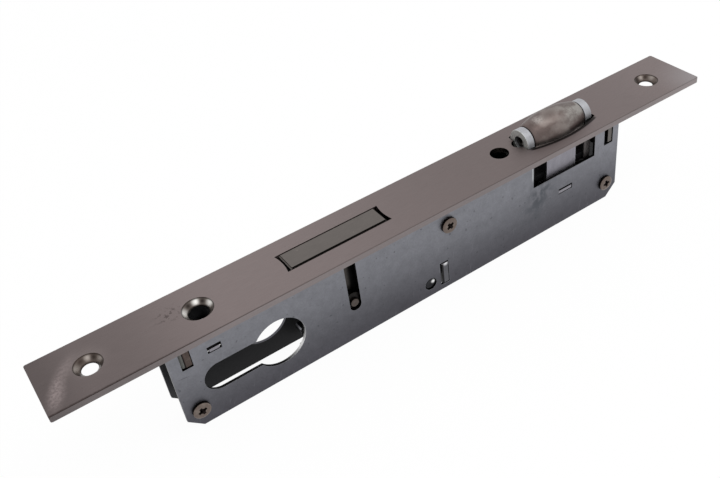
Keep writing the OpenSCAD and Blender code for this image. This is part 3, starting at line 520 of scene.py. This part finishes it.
def turned_roller():
    finish = Finish("roller_steel")
    rings = finish.noise(0.18, 2.0, 0.5, finish.place(ROLLER_AT, stretch=(1, 40, 40)))
    clouds = finish.noise(5.5, 3.0, 0.5, finish.place((3, 0, 0), stretch=(1.5, 1, 1)))
    fine = finish.noise(0.6, 3.0, 0.7)
    right_side = finish.along("X", ROLLER_AT[0] - 2, ROLLER_AT[0] + ROLLER_HALF * 0.7)
    grey = finish.blend(right_side, tone(126, 117, 113), tone(150, 146, 142))
    colour = finish.blend(finish.fade(clouds, 0.40, 0.60), tone(98, 87, 84), grey)
    for place, reach, mark in ROLLER_SHADE_AND_HIGHLIGHTS:
        patch = finish.near(place, reach) * finish.fade(fine, 0.35, 0.65, 0.4, 1.0)
        colour = finish.blend(patch * 0.7, colour, mark)
    colour = finish.shade(colour, (0.76 + 0.48 * fine) * (0.95 + 0.1 * rings))
    # The roller's ends are painted black as shade beside the ears.
    for side in (-1, 1):
        end_x = ROLLER_AT[0] + side * ROLLER_HALF
        end = finish.along("X", end_x - side * 0.12, end_x + side * 0.02)
        colour = finish.blend(end * 0.95, colour, tone(16, 14, 13))
    rough = 0.32 + 0.16 * clouds + 0.08 * fine
    height = rings * 0.6 + fine * 0.4
    return finish.done(colour, rough, height, 0.005)


def cast_zinc():
    finish = Finish("zinc_cast", metallic=0.85)
    frost = finish.noise(0.6, 4.0, 0.7)
    clouds = finish.noise(5, 2.0)
    streaks = finish.noise(0.7, 3.0, 0.6, finish.place(stretch=(1, 1, 9)))
    stains = finish.fade(finish.noise(2.2, 3.0, 0.6), 0.58, 0.72)
    mottle = (0.84 + 0.32 * frost) * (0.94 + 0.12 * clouds)
    colour = finish.shade(tone(172, 173, 177), mottle)
    # The left ear's end face is painted lighter, as the light falls on it.
    end = finish.until("X", 44.95, 45.1) * finish.fade(frost, 0.36, 0.5, 0.35, 1.0)
    colour = finish.blend(end, colour, tone(204, 206, 202))
    # Painted shade in the pin's recess.
    from_axis = finish.distance(ROLLER_AT, (1000, 1, 1))
    recess = finish.fade(from_axis, 2.12 * MM, 2.3 * MM, 1.0, 0.0)
    colour = finish.blend(recess * 0.9, colour, tone(30, 28, 26))
    colour = finish.blend(stains * 0.3, colour, tone(120, 118, 116))
    # Painted shade below the forend, black on the right leg's near face, while the block's face in the
    # window gets a lit tone.
    below = finish.until("Z", -4.2, -3.4)
    leg = finish.along("X", 69, 70) * finish.until("Y", -3.4, -3.2)
    hidden = finish.blend(leg, tone(24, 24, 26), finish.shade(tone(100, 95, 94), 0.3 + 1.4 * streaks))
    colour = finish.blend(below * 0.97, colour, hidden)
    block = finish.until("Y", -4.5, -4.42) * finish.along("X", 51, 52) * finish.until("X", 66, 67)
    lit_block_face = finish.shade(tone(150, 148, 156), (0.75 + 0.5 * streaks) * (0.8 + 0.4 * frost))
    colour = finish.blend(block * below, colour, lit_block_face)
    # Painted shadow along the block's lower edge in its window.
    low = finish.until("Z", -15.9, -15.1)
    colour = finish.blend(low * 0.9, colour, SHADE_BLACK)
    # Painted shade beside the roller's ends.
    gap_shade = (finish.along("X", 47.62, 47.72) * finish.until("X", 70.28, 70.38)
           * finish.along("Z", -4.2, -3.4))
    colour = finish.blend(gap_shade * 0.9, colour, SHADE_BLACK)
    # Painted shade where the ears stand below the forend's surface on the near side.
    sunk = (finish.until("Z", -0.5, -0.1) * finish.along("Z", -4.2, -3.4)
            * finish.until("Y", -3.2, -2.4))
    colour = finish.blend(sunk * 0.92, colour, SHADE_BLACK)
    rough = 0.46 + 0.16 * frost
    return finish.done(colour, rough, frost, 0.02)


bolt_steel = ground_bolt()
roller_steel = turned_roller()
zinc_cast = cast_zinc()
FINISHES = {
    "forend_satin": forend_satin, "zinc_plate": zinc_plate, "screw_nickel": screw_nickel,
    "bright_steel": bright_steel, "bolt_steel": bolt_steel, "lever_steel": lever_steel,
    "spring_steel": spring_steel, "roller_steel": roller_steel, "zinc_cast": zinc_cast}
SLOT_OF = {part["node"]: part["material_slot"] for part in frame["record"]["subparts"]}
for node, part in frame["nodes"].items():
    for slot in part.material_slots:
        slot.material = FINISHES[SLOT_OF[node]]
print("finishes on", len(frame["nodes"]), "nodes")

# %% [markdown]
# ## Eased edges
#
# A pressed or milled edge is never perfectly sharp, and the thin line of light along it is much of
# what makes metal look like metal. A bevel faked in the shader would do for a still, but real
# geometry shows from every side. Each CAD node whose shape is right is therefore copied, its loose
# triangles are merged, flat faces are dissolved into single ones, and its sharp edges are bevelled
# by 0.04 to 0.20 mm. Weighted normals then keep the broad faces flat and let only the bevel turn
# the light. The copy stands where the node stood.

# %% Helpers for pieces
MERGE = 0.0005 * MM


def only(piece):
    """Select one object and nothing else."""
    bpy.ops.object.select_all(action="DESELECT")
    piece.select_set(True)
    bpy.context.view_layer.objects.active = piece


def freeze():
    """Put the active piece's place, turn and scale into its mesh."""
    bpy.ops.object.transform_apply(location=True, rotation=True, scale=True)


def edit_all():
    """Go into the active piece's mesh with all of it selected."""
    bpy.ops.object.mode_set(mode="EDIT")
    bpy.ops.mesh.select_all(action="SELECT")


def leave_mesh():
    """Go back from the mesh to the object."""
    bpy.ops.object.mode_set(mode="OBJECT")


def applied(piece, kind, **settings):
    """Add a modifier to a piece and apply it."""
    only(piece)
    bpy.ops.object.modifier_add(type=kind)
    made = piece.modifiers[-1]
    for name, value in settings.items():
        setattr(made, name, value)
    bpy.ops.object.modifier_apply(modifier=made.name)


def smooth(piece, angle=40):
    """Smooth shading up to an angle, with the broad faces kept flat."""
    only(piece)
    bpy.ops.object.shade_smooth_by_angle(angle=math.radians(angle))
    applied(piece, "WEIGHTED_NORMAL", keep_sharp=True, weight=80)


def settle(piece, body, slot, *nodes):
    """Give a finished piece its body, its finish and the nodes it stands for."""
    only(piece)
    freeze()
    if not piece.data.materials:
        piece.data.materials.append(FINISHES[slot])
    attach(piece, body)
    if nodes:
        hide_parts(*nodes)
    size = [round(v / MM, 2) for v in piece.dimensions]
    print("piece", piece.name, "is", size, "mm with", len(piece.data.polygons), "faces")


def body_of(node):
    """The body that a CAD node rides on."""
    bodies = frame["record"]["behaviour"]["bodies"]
    return next(name for name, nodes in bodies.items() if node in nodes)


def eased(node, width, segments=2, sharp=35):
    """A copy of a CAD node with its sharp edges rounded by width mm."""
    source = frame["nodes"][node]
    piece = new_object(node + "_eased", source.data.copy())
    only(piece)
    bpy.ops.mesh.customdata_custom_splitnormals_clear()
    edit_all()
    bpy.ops.mesh.remove_doubles(threshold=MERGE)
    bpy.ops.mesh.dissolve_limited(angle_limit=math.radians(0.5))
    leave_mesh()
    applied(piece, "BEVEL", width=width * MM, segments=segments, limit_method="ANGLE",
            angle_limit=math.radians(sharp), use_clamp_overlap=True)
    smooth(piece)
    settle(piece, body_of(node), SLOT_OF[node], node)
    return piece


def refinish(piece, finish, test):
    """Give another finish to the faces whose middle, in mm, and normal pass a test."""
    piece.data.materials.append(finish)
    index = len(piece.data.materials) - 1
    count = 0
    for face in piece.data.polygons:
        if test(face.center / MM, face.normal):
            face.material_index = index
            count += 1
    print(finish.name, "on", count, "faces of", piece.name)


# %% Ease the pressed, milled and cast parts
EASE = {
    "forend": 0.10, "case_cover": 0.10, "case_body": 0.06, "lower_lug": 0.15, "upper_lug": 0.15,
    "screw_guide": 0.10, "spring_anchor": 0.15, "spring_seat": 0.10, "deadbolt": 0.04,
    "drive_lever": 0.10, "roller_carriage": 0.18, "adjusting_yoke": 0.20, "detent_spring": 0.08,
    "screw_bracket": 0.08, "screw_clip": 0.06}
pieces = {node: eased(node, width) for node, width in EASE.items()}
OWN_FINISH = {"case_cover": zinc_cover, "lower_lug": lug_steel, "upper_lug": upper_lug_steel,
              "spring_anchor": anchor_steel}
for node, finish in OWN_FINISH.items():
    pieces[node].data.materials[0] = finish

# %% [markdown]
# ## Cut faces and bare cones
#
# The punch burnishes the rim of a hole in sheet metal, and painted highlights brighten it further,
# while its wall is painted dark as shade. The rims of the slots that a tongue or the anchor fills are
# painted dark as shade as well. The tongues are cut across, so their ends are bright, and their long
# sides are painted dark as shade. The walls of the forend's openings are painted dark as shade too,
# apart from the one that the bolt rubs against. The anchor's top faces are painted lighter, as the
# light falls on them, and its left faces and the upper lug's are painted dark as shade. These finishes
# go on by face: the test looks at where a face lies and which way it points, which is simpler than
# painting a mask.

# %% Finish the cut faces
# Slots that the tongues and the anchor fill: middle X, half its length, lowest and highest Z, in mm
FILLED_SLOTS = ((-72.2, 2.6, -12, -8), (59.6, 3.8, -26, -19), (5.4, 0.8, -35, -24))
# A face whose normal lies this much along one axis is one of a plate's broad faces
BROAD = 0.97


def flat_wall(middle, normal):
    return abs(normal.y) < 0.2


def rolled_rim(middle, normal):
    return 0.2 <= abs(normal.y) < BROAD


def filled_rim(middle, normal):
    at_slot = any(abs(middle.x - x) < half and low < middle.z < high
                  for x, half, low, high in FILLED_SLOTS)
    return at_slot and middle.y < 0 and normal.z < 0.3 and abs(normal.y) < BROAD


def in_cone(x, mouth):
    """A test for the faces of a countersink and its rolled lip, which reaches past its mouth."""
    def test(middle, normal):
        return math.hypot(middle.x - x, middle.y) < mouth + 0.15 and normal.z < BROAD
    return test


def forend_opening(middle, normal):
    inner = abs(middle.x) < 90 and abs(middle.y) < 9 and abs(middle.x - CYLINDER_SCREW_X) > 5
    against_bolt = middle.x < -12 and middle.y > 4.6
    near_rim = middle.x > 44 and middle.y < -3 and abs(normal.z) < BROAD
    return inner and not against_bolt and (abs(normal.z) < 0.5 or near_rim)


def tongue_end(middle, normal):
    return abs(middle.y) > 5.6 and abs(normal.y) > 0.5


def tongue_side(middle, normal):
    return not tongue_end(middle, normal)


def facing_left(middle, normal):
    return normal.x < -0.5


def facing_out(middle, normal):
    return normal.z > 0.3


# Where two tests take the same face, the later finish stays
# The cover's walls and the rims of its filled slots are painted dark as shade, and its rolled rims get
# painted highlights.
refinish(pieces["case_cover"], cut_wall_shade, flat_wall)
refinish(pieces["case_cover"], cut_edge, rolled_rim)
refinish(pieces["case_cover"], cut_wall_shade, filled_rim)
for x, cone in zip(FIXING_X, fixing_cones):
    refinish(pieces["forend"], cone, in_cone(x, FIXING_MOUTH_R))
refinish(pieces["forend"], cylinder_cone, in_cone(CYLINDER_SCREW_X, CYLINDER_MOUTH_R))
# The walls of the forend's openings are painted dark as shade.
refinish(pieces["forend"], forend_wall_shade, forend_opening)
# The tongues' long sides are painted dark as shade.
for node in ("screw_guide", "spring_seat"):
    refinish(pieces[node], cut_wall_shade, tongue_side)
    refinish(pieces[node], tab_end, tongue_end)
# The anchor's left faces are painted dark as shade and its top faces lighter, as the light falls on
# them.
refinish(pieces["spring_anchor"], cut_wall_shade, facing_left)
refinish(pieces["spring_anchor"], bright_steel, facing_out)
refinish(pieces["lower_lug"], lug_side, facing_left)
# The upper lug's left faces are painted dark as shade.
refinish(pieces["upper_lug"], cut_wall_shade, facing_left)
refinish(pieces["drive_lever"], bright_steel, rolled_rim)

# %% [markdown]
# ## Turned pieces
#
# The roller, the pins, the screws, the pillars and the washers all come off a lathe. Each is made the
# same way here: a disc, or a ring for a piece with a bore, is extruded along its axis and resized at
# each step. Spinning a drawn profile would give the same shape, but this way every step is a length
# and a radius that can be read off a drawing. A ring's profile comes back to where it began, and
# merging closes it.

# %% The lathe
FACING = {"X": (0, math.radians(90), 0), "Y": (math.radians(90), 0, 0), "Z": (0, 0, 0)}


def turned(name, axis, middle, stations, sides=64):
    """A turned piece from its stations, each a place along the axis and a radius, in mm."""
    ring = stations[0] == stations[-1]
    way = Vector([float(letter == axis) for letter in "XYZ"])
    here = Vector(middle) * MM + way * stations[0][0] * MM
    bpy.ops.mesh.primitive_circle_add(vertices=sides, radius=stations[0][1] * MM, location=here,
                                      rotation=FACING[axis], fill_type="NOTHING" if ring else "NGON")
    piece = bpy.context.object
    piece.name = name
    freeze()
    edit_all()
    for (place, radius), (next_place, next_radius) in zip(stations, stations[1:]):
        step = way * (next_place - place) * MM
        here = here + step
        bpy.ops.mesh.extrude_region_move(TRANSFORM_OT_translate={"value": step})
        grow = next_radius / radius
        bpy.ops.transform.resize(value=[1 if letter == axis else grow for letter in "XYZ"],
                                 center_override=here)
    bpy.ops.mesh.select_all(action="SELECT")
    bpy.ops.mesh.remove_doubles(threshold=MERGE)
    bpy.ops.mesh.normals_make_consistent(inside=False)
    leave_mesh()
    return piece


def pin(name, axis, middle, half, radius, chamfer):
    """A pin with chamfered ends and a faint lathe centre in each."""
    stations = [(-half + 0.12, 0.25), (-half, radius * 0.5), (-half, radius - chamfer),
                (-half + chamfer * 0.35, radius - chamfer * 0.3), (-half + chamfer, radius)]
    stations += [(-place, width) for place, width in reversed(stations)]
    return turned(name, axis, middle, stations)


# %% [markdown]
# ## The roller
#
# The roller is a crowned barrel, so that it climbs the strike plate without catching. Its radii
# could be typed in by eye, but working them out from one arc keeps the crown true.

# %% The roller
ROLLER_R, ROLLER_END_R, ROLLER_BORE = 6.5, 4.6, 1.65
CROWN_HALF = ROLLER_HALF - 0.32
CROWN_STEPS = 20
rise = ROLLER_R - ROLLER_END_R
crown = (ROLLER_HALF ** 2 + rise ** 2) / (2 * rise)


def crown_radius(place):
    """Radius of the roller's crowned face at a place along it."""
    return ROLLER_R - crown + math.sqrt(crown ** 2 - place ** 2)


corner = [(ROLLER_HALF, ROLLER_BORE + 0.3), (ROLLER_HALF, ROLLER_END_R - 0.28),
          (ROLLER_HALF - 0.06, ROLLER_END_R - 0.14), (ROLLER_HALF - 0.16, ROLLER_END_R - 0.03)]
crown_places = [CROWN_HALF - k * 2 * CROWN_HALF / CROWN_STEPS for k in range(CROWN_STEPS + 1)]
stations = corner + [(place, crown_radius(place)) for place in crown_places]
stations += [(-place, radius) for place, radius in reversed(corner)]
stations += [(0.3 - ROLLER_HALF, ROLLER_BORE), (ROLLER_HALF - 0.3, ROLLER_BORE), corner[0]]
roller = turned("roller_turned", "X", ROLLER_AT, stations, 96)
smooth(roller)
settle(roller, "roller", "roller_steel", "roller")

# %% [markdown]
# ## Pins
#
# The pins are ground rods. A cylinder primitive would do from afar, but a real pin has chamfers and
# the lathe's centres in its ends, and these catch light in the case's holes.

# %% Pins
GUIDE_PIN_AT = (-27, 0, -22)
PIVOT_AT = (1.0, 0, -31.1)


def finished(piece, node, finish):
    """Smooth a turned piece, give it a finish of its own and stand it for its node."""
    smooth(piece)
    piece.data.materials.append(finish)
    settle(piece, body_of(node), SLOT_OF[node], node)


guide_pin = pin("bolt_guide_pin_turned", "Y", GUIDE_PIN_AT, 6.0, 1.45, 0.22)
pivot_pin = pin("lever_pivot_turned", "Y", PIVOT_AT, 5.85, 2.2, 0.3)
axle = pin("roller_pin_turned", "X", ROLLER_AT, 13.0, 1.6, 0.3)
finished(guide_pin, "bolt_guide_pin", pin_steel)
finished(pivot_pin, "lever_pivot", pivot_steel)
finished(axle, "roller_pin", axle_steel)

# %% [markdown]
# ## Washers, spacers and pillars
#
# Washers and spacers are rings on the pins. The pillars are riveted into the far plate and tapped for
# the cover screws. Copies could share one mesh, but here one piece stands for one node, so they are
# joined.

# %% Washers, spacers and pillars
def washer(name, middle, near, far, radius, bore, ease=0.12):
    """A ring along Y from near to far, its four edges eased."""
    return turned(name, "Y", middle, [
        (near, bore + ease), (near, radius - ease), (near + ease, radius), (far - ease, radius),
        (far, radius - ease), (far, bore + ease), (far - ease, bore), (near + ease, bore),
        (near, bore + ease)])


def joined(name, parts):
    """Several objects as one."""
    only(parts[0])
    for part in parts:
        part.select_set(True)
    bpy.ops.object.join()
    parts[0].name = name
    return parts[0]


washers = joined("bolt_washers_turned", [
    washer("near_washer", GUIDE_PIN_AT, -5.2, -3.05, 3.5, 1.47),
    washer("far_washer", GUIDE_PIN_AT, 4.75, 5.2, 3.5, 1.47)])
spacers = joined("lever_spacers_turned", [
    washer("near_spacer", PIVOT_AT, -5.2, -1.75, 3.5, 2.22),
    washer("far_spacer", PIVOT_AT, 1.75, 5.2, 3.5, 2.22)])
SCREW_AT = ((-81.2, -29.4), (9.5, -10.7), (78.5, -28.9))
first_post = turned("post", "Y", (0, 0, 0), [
    (4.05, 1.3), (4.05, 1.5), (-5.1, 1.5), (-5.25, 1.65), (-5.25, 2.85), (-5.1, 3.0), (5.1, 3.0),
    (5.25, 2.85), (5.25, 1.73), (6.15, 1.73), (6.25, 1.6)])


def copies(name, first, places):
    """Copies of a finished piece, each with its own mesh, at places (x, z, turn about Y)."""
    made = []
    for x, z, turn in places:
        copy = new_object(name, first.data.copy())
        copy.matrix_world = (Matrix.Translation(Vector((x, 0, z)) * MM)
                             @ Matrix.Rotation(math.radians(-turn), 4, "Y"))
        made.append(copy)
    bpy.data.objects.remove(first)
    for copy in made:
        only(copy)
        freeze()
    return joined(name, made)


posts = copies("cover_posts_turned", first_post, [(x, z, 0) for x, z in SCREW_AT])
finished(washers, "bolt_washers", shaded_steel)
finished(spacers, "lever_spacers", shaded_steel)
finished(posts, "cover_posts", zinc_plate)

# %% [markdown]
# ## Screws
#
# The cover screws have low cheese heads, faintly domed, with a cross recess whose four arms narrow as
# they go down. The recess is cut by two tapered bars, each a cube with its deep face drawn in, and a
# blunt cone between them. One screw is modelled and copied, and each copy is turned to where its own
# recess stopped.

# %% Cross recess
CUTTER_OVER = 0.5
CUTTER_TIP = 0.55


def tapered_bar(long, wide, deep, axis, face):
    """A cutter for one arm pair: wide at the head's face, narrower at its tip."""
    way = Vector([float(letter == axis) for letter in "XYZ"])
    into = 1 if axis == "Y" else -1
    middle = way * (face + into * (deep - CUTTER_OVER) / 2) * MM
    bpy.ops.mesh.primitive_cube_add(size=1, location=middle)
    bar = bpy.context.object
    other = "Z" if axis == "Y" else "Y"
    sizes = {axis: deep + CUTTER_OVER, "X": long, other: wide}
    bar.scale = [sizes[letter] * MM for letter in "XYZ"]
    freeze()
    bpy.ops.object.mode_set(mode="EDIT")
    bpy.ops.mesh.select_all(action="DESELECT")
    leave_mesh()
    for side in bar.data.polygons:
        side.select = side.normal.dot(way) * into > 0.9
    bpy.ops.object.mode_set(mode="EDIT")
    bpy.ops.mesh.select_mode(type="FACE")
    tip = way * (face + into * deep) * MM
    bpy.ops.transform.resize(value=[CUTTER_TIP] * 3, center_override=tip)
    leave_mesh()
    return bar


def cut_cross(head, axis, face, long, wide, deep):
    """Cut a cross recess into a screw's head, then ease its rim."""
    bars = [tapered_bar(long, wide, deep, axis, face), tapered_bar(long, wide, deep, axis, face)]
    only(bars[1])
    bars[1].matrix_world = Matrix.Rotation(math.radians(90), 4, axis)
    bpy.ops.object.transform_apply(location=False, rotation=True, scale=False)
    into = 1 if axis == "Y" else -1
    bars.append(turned("bit_cone", axis, (0, 0, 0), [
        (face - into * 0.3, wide * 0.95), (face + into * deep, wide * CUTTER_TIP),
        (face + into * deep * 1.25, wide * 0.15)]))
    for bar in bars:
        applied(head, "BOOLEAN", operation="DIFFERENCE", object=bar)
        bpy.data.objects.remove(bar)
    applied(head, "BEVEL", width=0.05 * MM, segments=2, limit_method="ANGLE",
            angle_limit=math.radians(38), use_clamp_overlap=True)


# %% Cover screws
first_screw = turned("screw", "Y", (0, 0, 0), [
    (-7.45, 1.9), (-7.41, 2.3), (-7.32, 2.62), (-7.2, 2.77), (-7.1, 2.8), (-6.3, 2.8), (-6.25, 2.75),
    (-6.25, 1.73), (-5.25, 1.73), (-5.2, 1.48), (3.5, 1.48), (3.75, 1.2)])
cut_cross(first_screw, "Y", -7.45, 3.2, 1.05, 1.1)
screws = copies("cover_screws_turned", first_screw, [
    (x, z, turn) for (x, z), turn in zip(SCREW_AT, (20, 35, 10))])
smooth(screws)
settle(screws, "root", "screw_nickel", "cover_screws")


def side_or_recess(middle, normal):
    out = min(math.hypot(middle.x - x, middle.z - z) for x, z in SCREW_AT)
    side = out > 2.7 and abs(normal.y) < 0.6
    recess = out < 1.75 and (middle.y > -7.36 or abs(normal.y) < 0.8)
    return side or recess


# The heads' sides and recesses are painted dark as shade.
refinish(screws, screw_shade, side_or_recess)

# %% [markdown]
# ## The adjusting screw
#
# Its thread is a stack of rings and not a helix: deep in the case nobody can tell, and rings come
# off the same lathe. The recess is cut about the Z axis, so the screw is moved there and back.

# %% Adjusting screw
ADJUSTER_X = 36.6
THREAD_PITCH, THREAD_TURNS = 0.7, 17


def shifted(piece, x):
    """Move a piece by x mm and keep its object at the origin."""
    only(piece)
    bpy.ops.transform.translate(value=(x * MM, 0, 0))
    freeze()


threads = []
for k in range(THREAD_TURNS):
    threads += [(-10.2 - THREAD_PITCH * k, 2.0), (-10.55 - THREAD_PITCH * k, 1.72)]
adjuster = turned("adjusting_screw_turned", "Z", (ADJUSTER_X, 0, 0), [
    (-4.7, 2.5), (-4.82, 2.8), (-4.95, 2.9), (-7.2, 2.9), (-7.3, 2.8), (-7.3, 2.0),
    *threads, (-22.2, 1.4)])
shifted(adjuster, -ADJUSTER_X)
cut_cross(adjuster, "Z", -4.7, 3.1, 0.95, 1.15)
shifted(adjuster, ADJUSTER_X)
finished(adjuster, "adjusting_screw", adjuster_steel)

# %% [markdown]
# ## Roller springs
#
# Each spring is round wire wound in six turns: a closed turn at each end, ground flat where it bears,
# and four open turns between. A circle of the wire's section is swept by the Screw modifier, once
# for each pitch, the three lengths are joined and merged, and the ends are ground by bisecting them.
# A bevelled curve would also give a coil, but it couldn't be ground flat. In use the spring shortens
# as the roller is pushed in. The adjuster shortens it too, by up to 1.2 mm, but a piece follows one
# joint, so it stands a little more than that short of its pocket's roof.

# %% Wind the springs
WIRE_R, COIL_R = 0.4, 2.2
SPRING_Z0, SPRING_Z1 = -21.85, -10.0
GROUND = 0.15
OPEN_TURNS = 4
SPRING_OUT = 3.3
WIRE_SIDES, COIL_STEPS = 14, 40


def wound(start, pitch, turns):
    """One length of coil about the Z axis at a single pitch."""
    bpy.ops.mesh.primitive_circle_add(vertices=WIRE_SIDES, radius=WIRE_R * MM, fill_type="NOTHING",
                                      location=(COIL_R * MM, 0, start * MM),
                                      rotation=(math.radians(90), 0, 0))
    length = bpy.context.object
    freeze()
    applied(length, "SCREW", axis="Z", angle=math.radians(360), screw_offset=pitch * MM,
            iterations=turns, steps=COIL_STEPS, render_steps=COIL_STEPS)
    return length


def spring(name, x):
    """A spring at x mm, with closed and ground ends."""
    low = SPRING_Z0 + WIRE_R - GROUND
    high = SPRING_Z1 - WIRE_R + GROUND
    closed = 2 * WIRE_R + 0.05
    pitch = (high - low - 2 * closed) / OPEN_TURNS
    coil = joined(name, [wound(low, closed, 1), wound(low + closed, pitch, OPEN_TURNS),
                         wound(high - closed, closed, 1)])
    edit_all()
    bpy.ops.mesh.remove_doubles(threshold=0.002 * MM)
    bpy.ops.mesh.fill_holes(sides=0)
    bpy.ops.mesh.select_all(action="SELECT")
    bpy.ops.mesh.normals_make_consistent(inside=False)
    for level, side in ((SPRING_Z0, 1), (SPRING_Z1, -1)):
        bpy.ops.mesh.select_all(action="SELECT")
        bpy.ops.mesh.bisect(plane_co=(0, 0, level * MM), plane_no=(0, 0, side),
                            use_fill=True, clear_inner=True)
    leave_mesh()
    shifted(coil, x)
    smooth(coil, 50)
    return coil


for side, name in ((-1, "left_spring"), (1, "right_spring")):
    x = ROLLER_AT[0] + side * SPRING_OUT
    coil = spring(name, x)
    settle(coil, "root", "spring_steel", "roller_springs")
    x * MM
    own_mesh(coil)

# %% [markdown]
# ## Floor, backdrop and light
#
# The photograph has a plain white ground. The floor and the world show as white to the camera and in
# reflections, by the Light Path node, while the lamps stay low enough that a colour renders about as
# it was chosen. A part of the floor's own shading stays mixed in, so that the lock keeps its shadow.

# %% Floor and world
def seen_rays(nodes):
    """1 for rays from the camera, a reflection or a clear piece, else 0."""
    camera, glossy, clear = [nodes.node("ShaderNodeLightPath", out=f"Is {kind} Ray")
                             for kind in ("Camera", "Glossy", "Transmission")]
    return camera.maths("MAXIMUM", camera.maths("MAXIMUM", camera, glossy), clear)


def mix_surface(nodes, share, first, second, output):
    """Mix two shaders by a share of the second, and send them to a new output node."""
    mixed = nodes.node("ShaderNodeMixShader", None, {0: share, 1: first, 2: second})
    nodes.plug(nodes.tree.nodes.new(output).inputs["Surface"], mixed)


def emptied(look):
    """The node tree of a material or a world, with nothing in it."""
    look.use_nodes = True
    look.node_tree.nodes.clear()
    return Nodes(look.node_tree)


FLOOR_Z = -36.02
GLOW_SHARE, FLOOR_GLOW, ROOM_GLOW = 0.93, 1.03, 0.62
bpy.ops.mesh.primitive_plane_add(size=6, location=(0, 0, FLOOR_Z * MM))
floor = bpy.context.object
floor.name = "floor"
floor_look = bpy.data.materials.new("floor_white")
nodes = emptied(floor_look)
matt = nodes.node("ShaderNodeBsdfDiffuse", None, {"Color": (0.88, 0.88, 0.88)})
glow = nodes.node("ShaderNodeEmission", None, {"Strength": FLOOR_GLOW})
mix_surface(nodes, seen_rays(nodes) * GLOW_SHARE, matt, glow, "ShaderNodeOutputMaterial")
floor.data.materials.append(floor_look)

world = bpy.data.worlds.new("white_room")
bpy.context.scene.world = world
nodes = emptied(world)
room = nodes.node("ShaderNodeBackground", None, {"Strength": ROOM_GLOW})
white = nodes.node("ShaderNodeBackground", None, {"Color": (1, 1, 1)})
mix_surface(nodes, seen_rays(nodes), room, white, "ShaderNodeOutputWorld")
print("floor at", FLOOR_Z, "mm")

# %% [markdown]
# ## Lamps
#
# Three large square lamps stand for a studio's softboxes. Small lamps would put hard sparks on the
# roller, where the photograph shows broad soft highlights.

# %% Lamps
def softbox(name, place, aim, size, watts):
    """A square area lamp of size mm at a place, aimed at a point, both in mm."""
    lamp = bpy.data.lights.new(name, "AREA")
    lamp.size = size * MM
    lamp.energy = watts
    holder = new_object(name, lamp)
    away = (Vector(place) - Vector(aim)).normalized()
    facing = away.to_track_quat("Z", "Y").to_matrix().to_4x4()
    holder.matrix_world = Matrix.Translation(Vector(place) * MM) @ facing


softbox("key_softbox", (260, -170, 640), (20, 0, 0), 420, 0.9)
softbox("fill_softbox", (-320, -420, 600), (0, 0, -10), 500, 0.4)
softbox("back_softbox", (120, 620, 420), (0, 0, 0), 500, 0.3)
bpy.context.scene.view_settings.view_transform = "Standard"
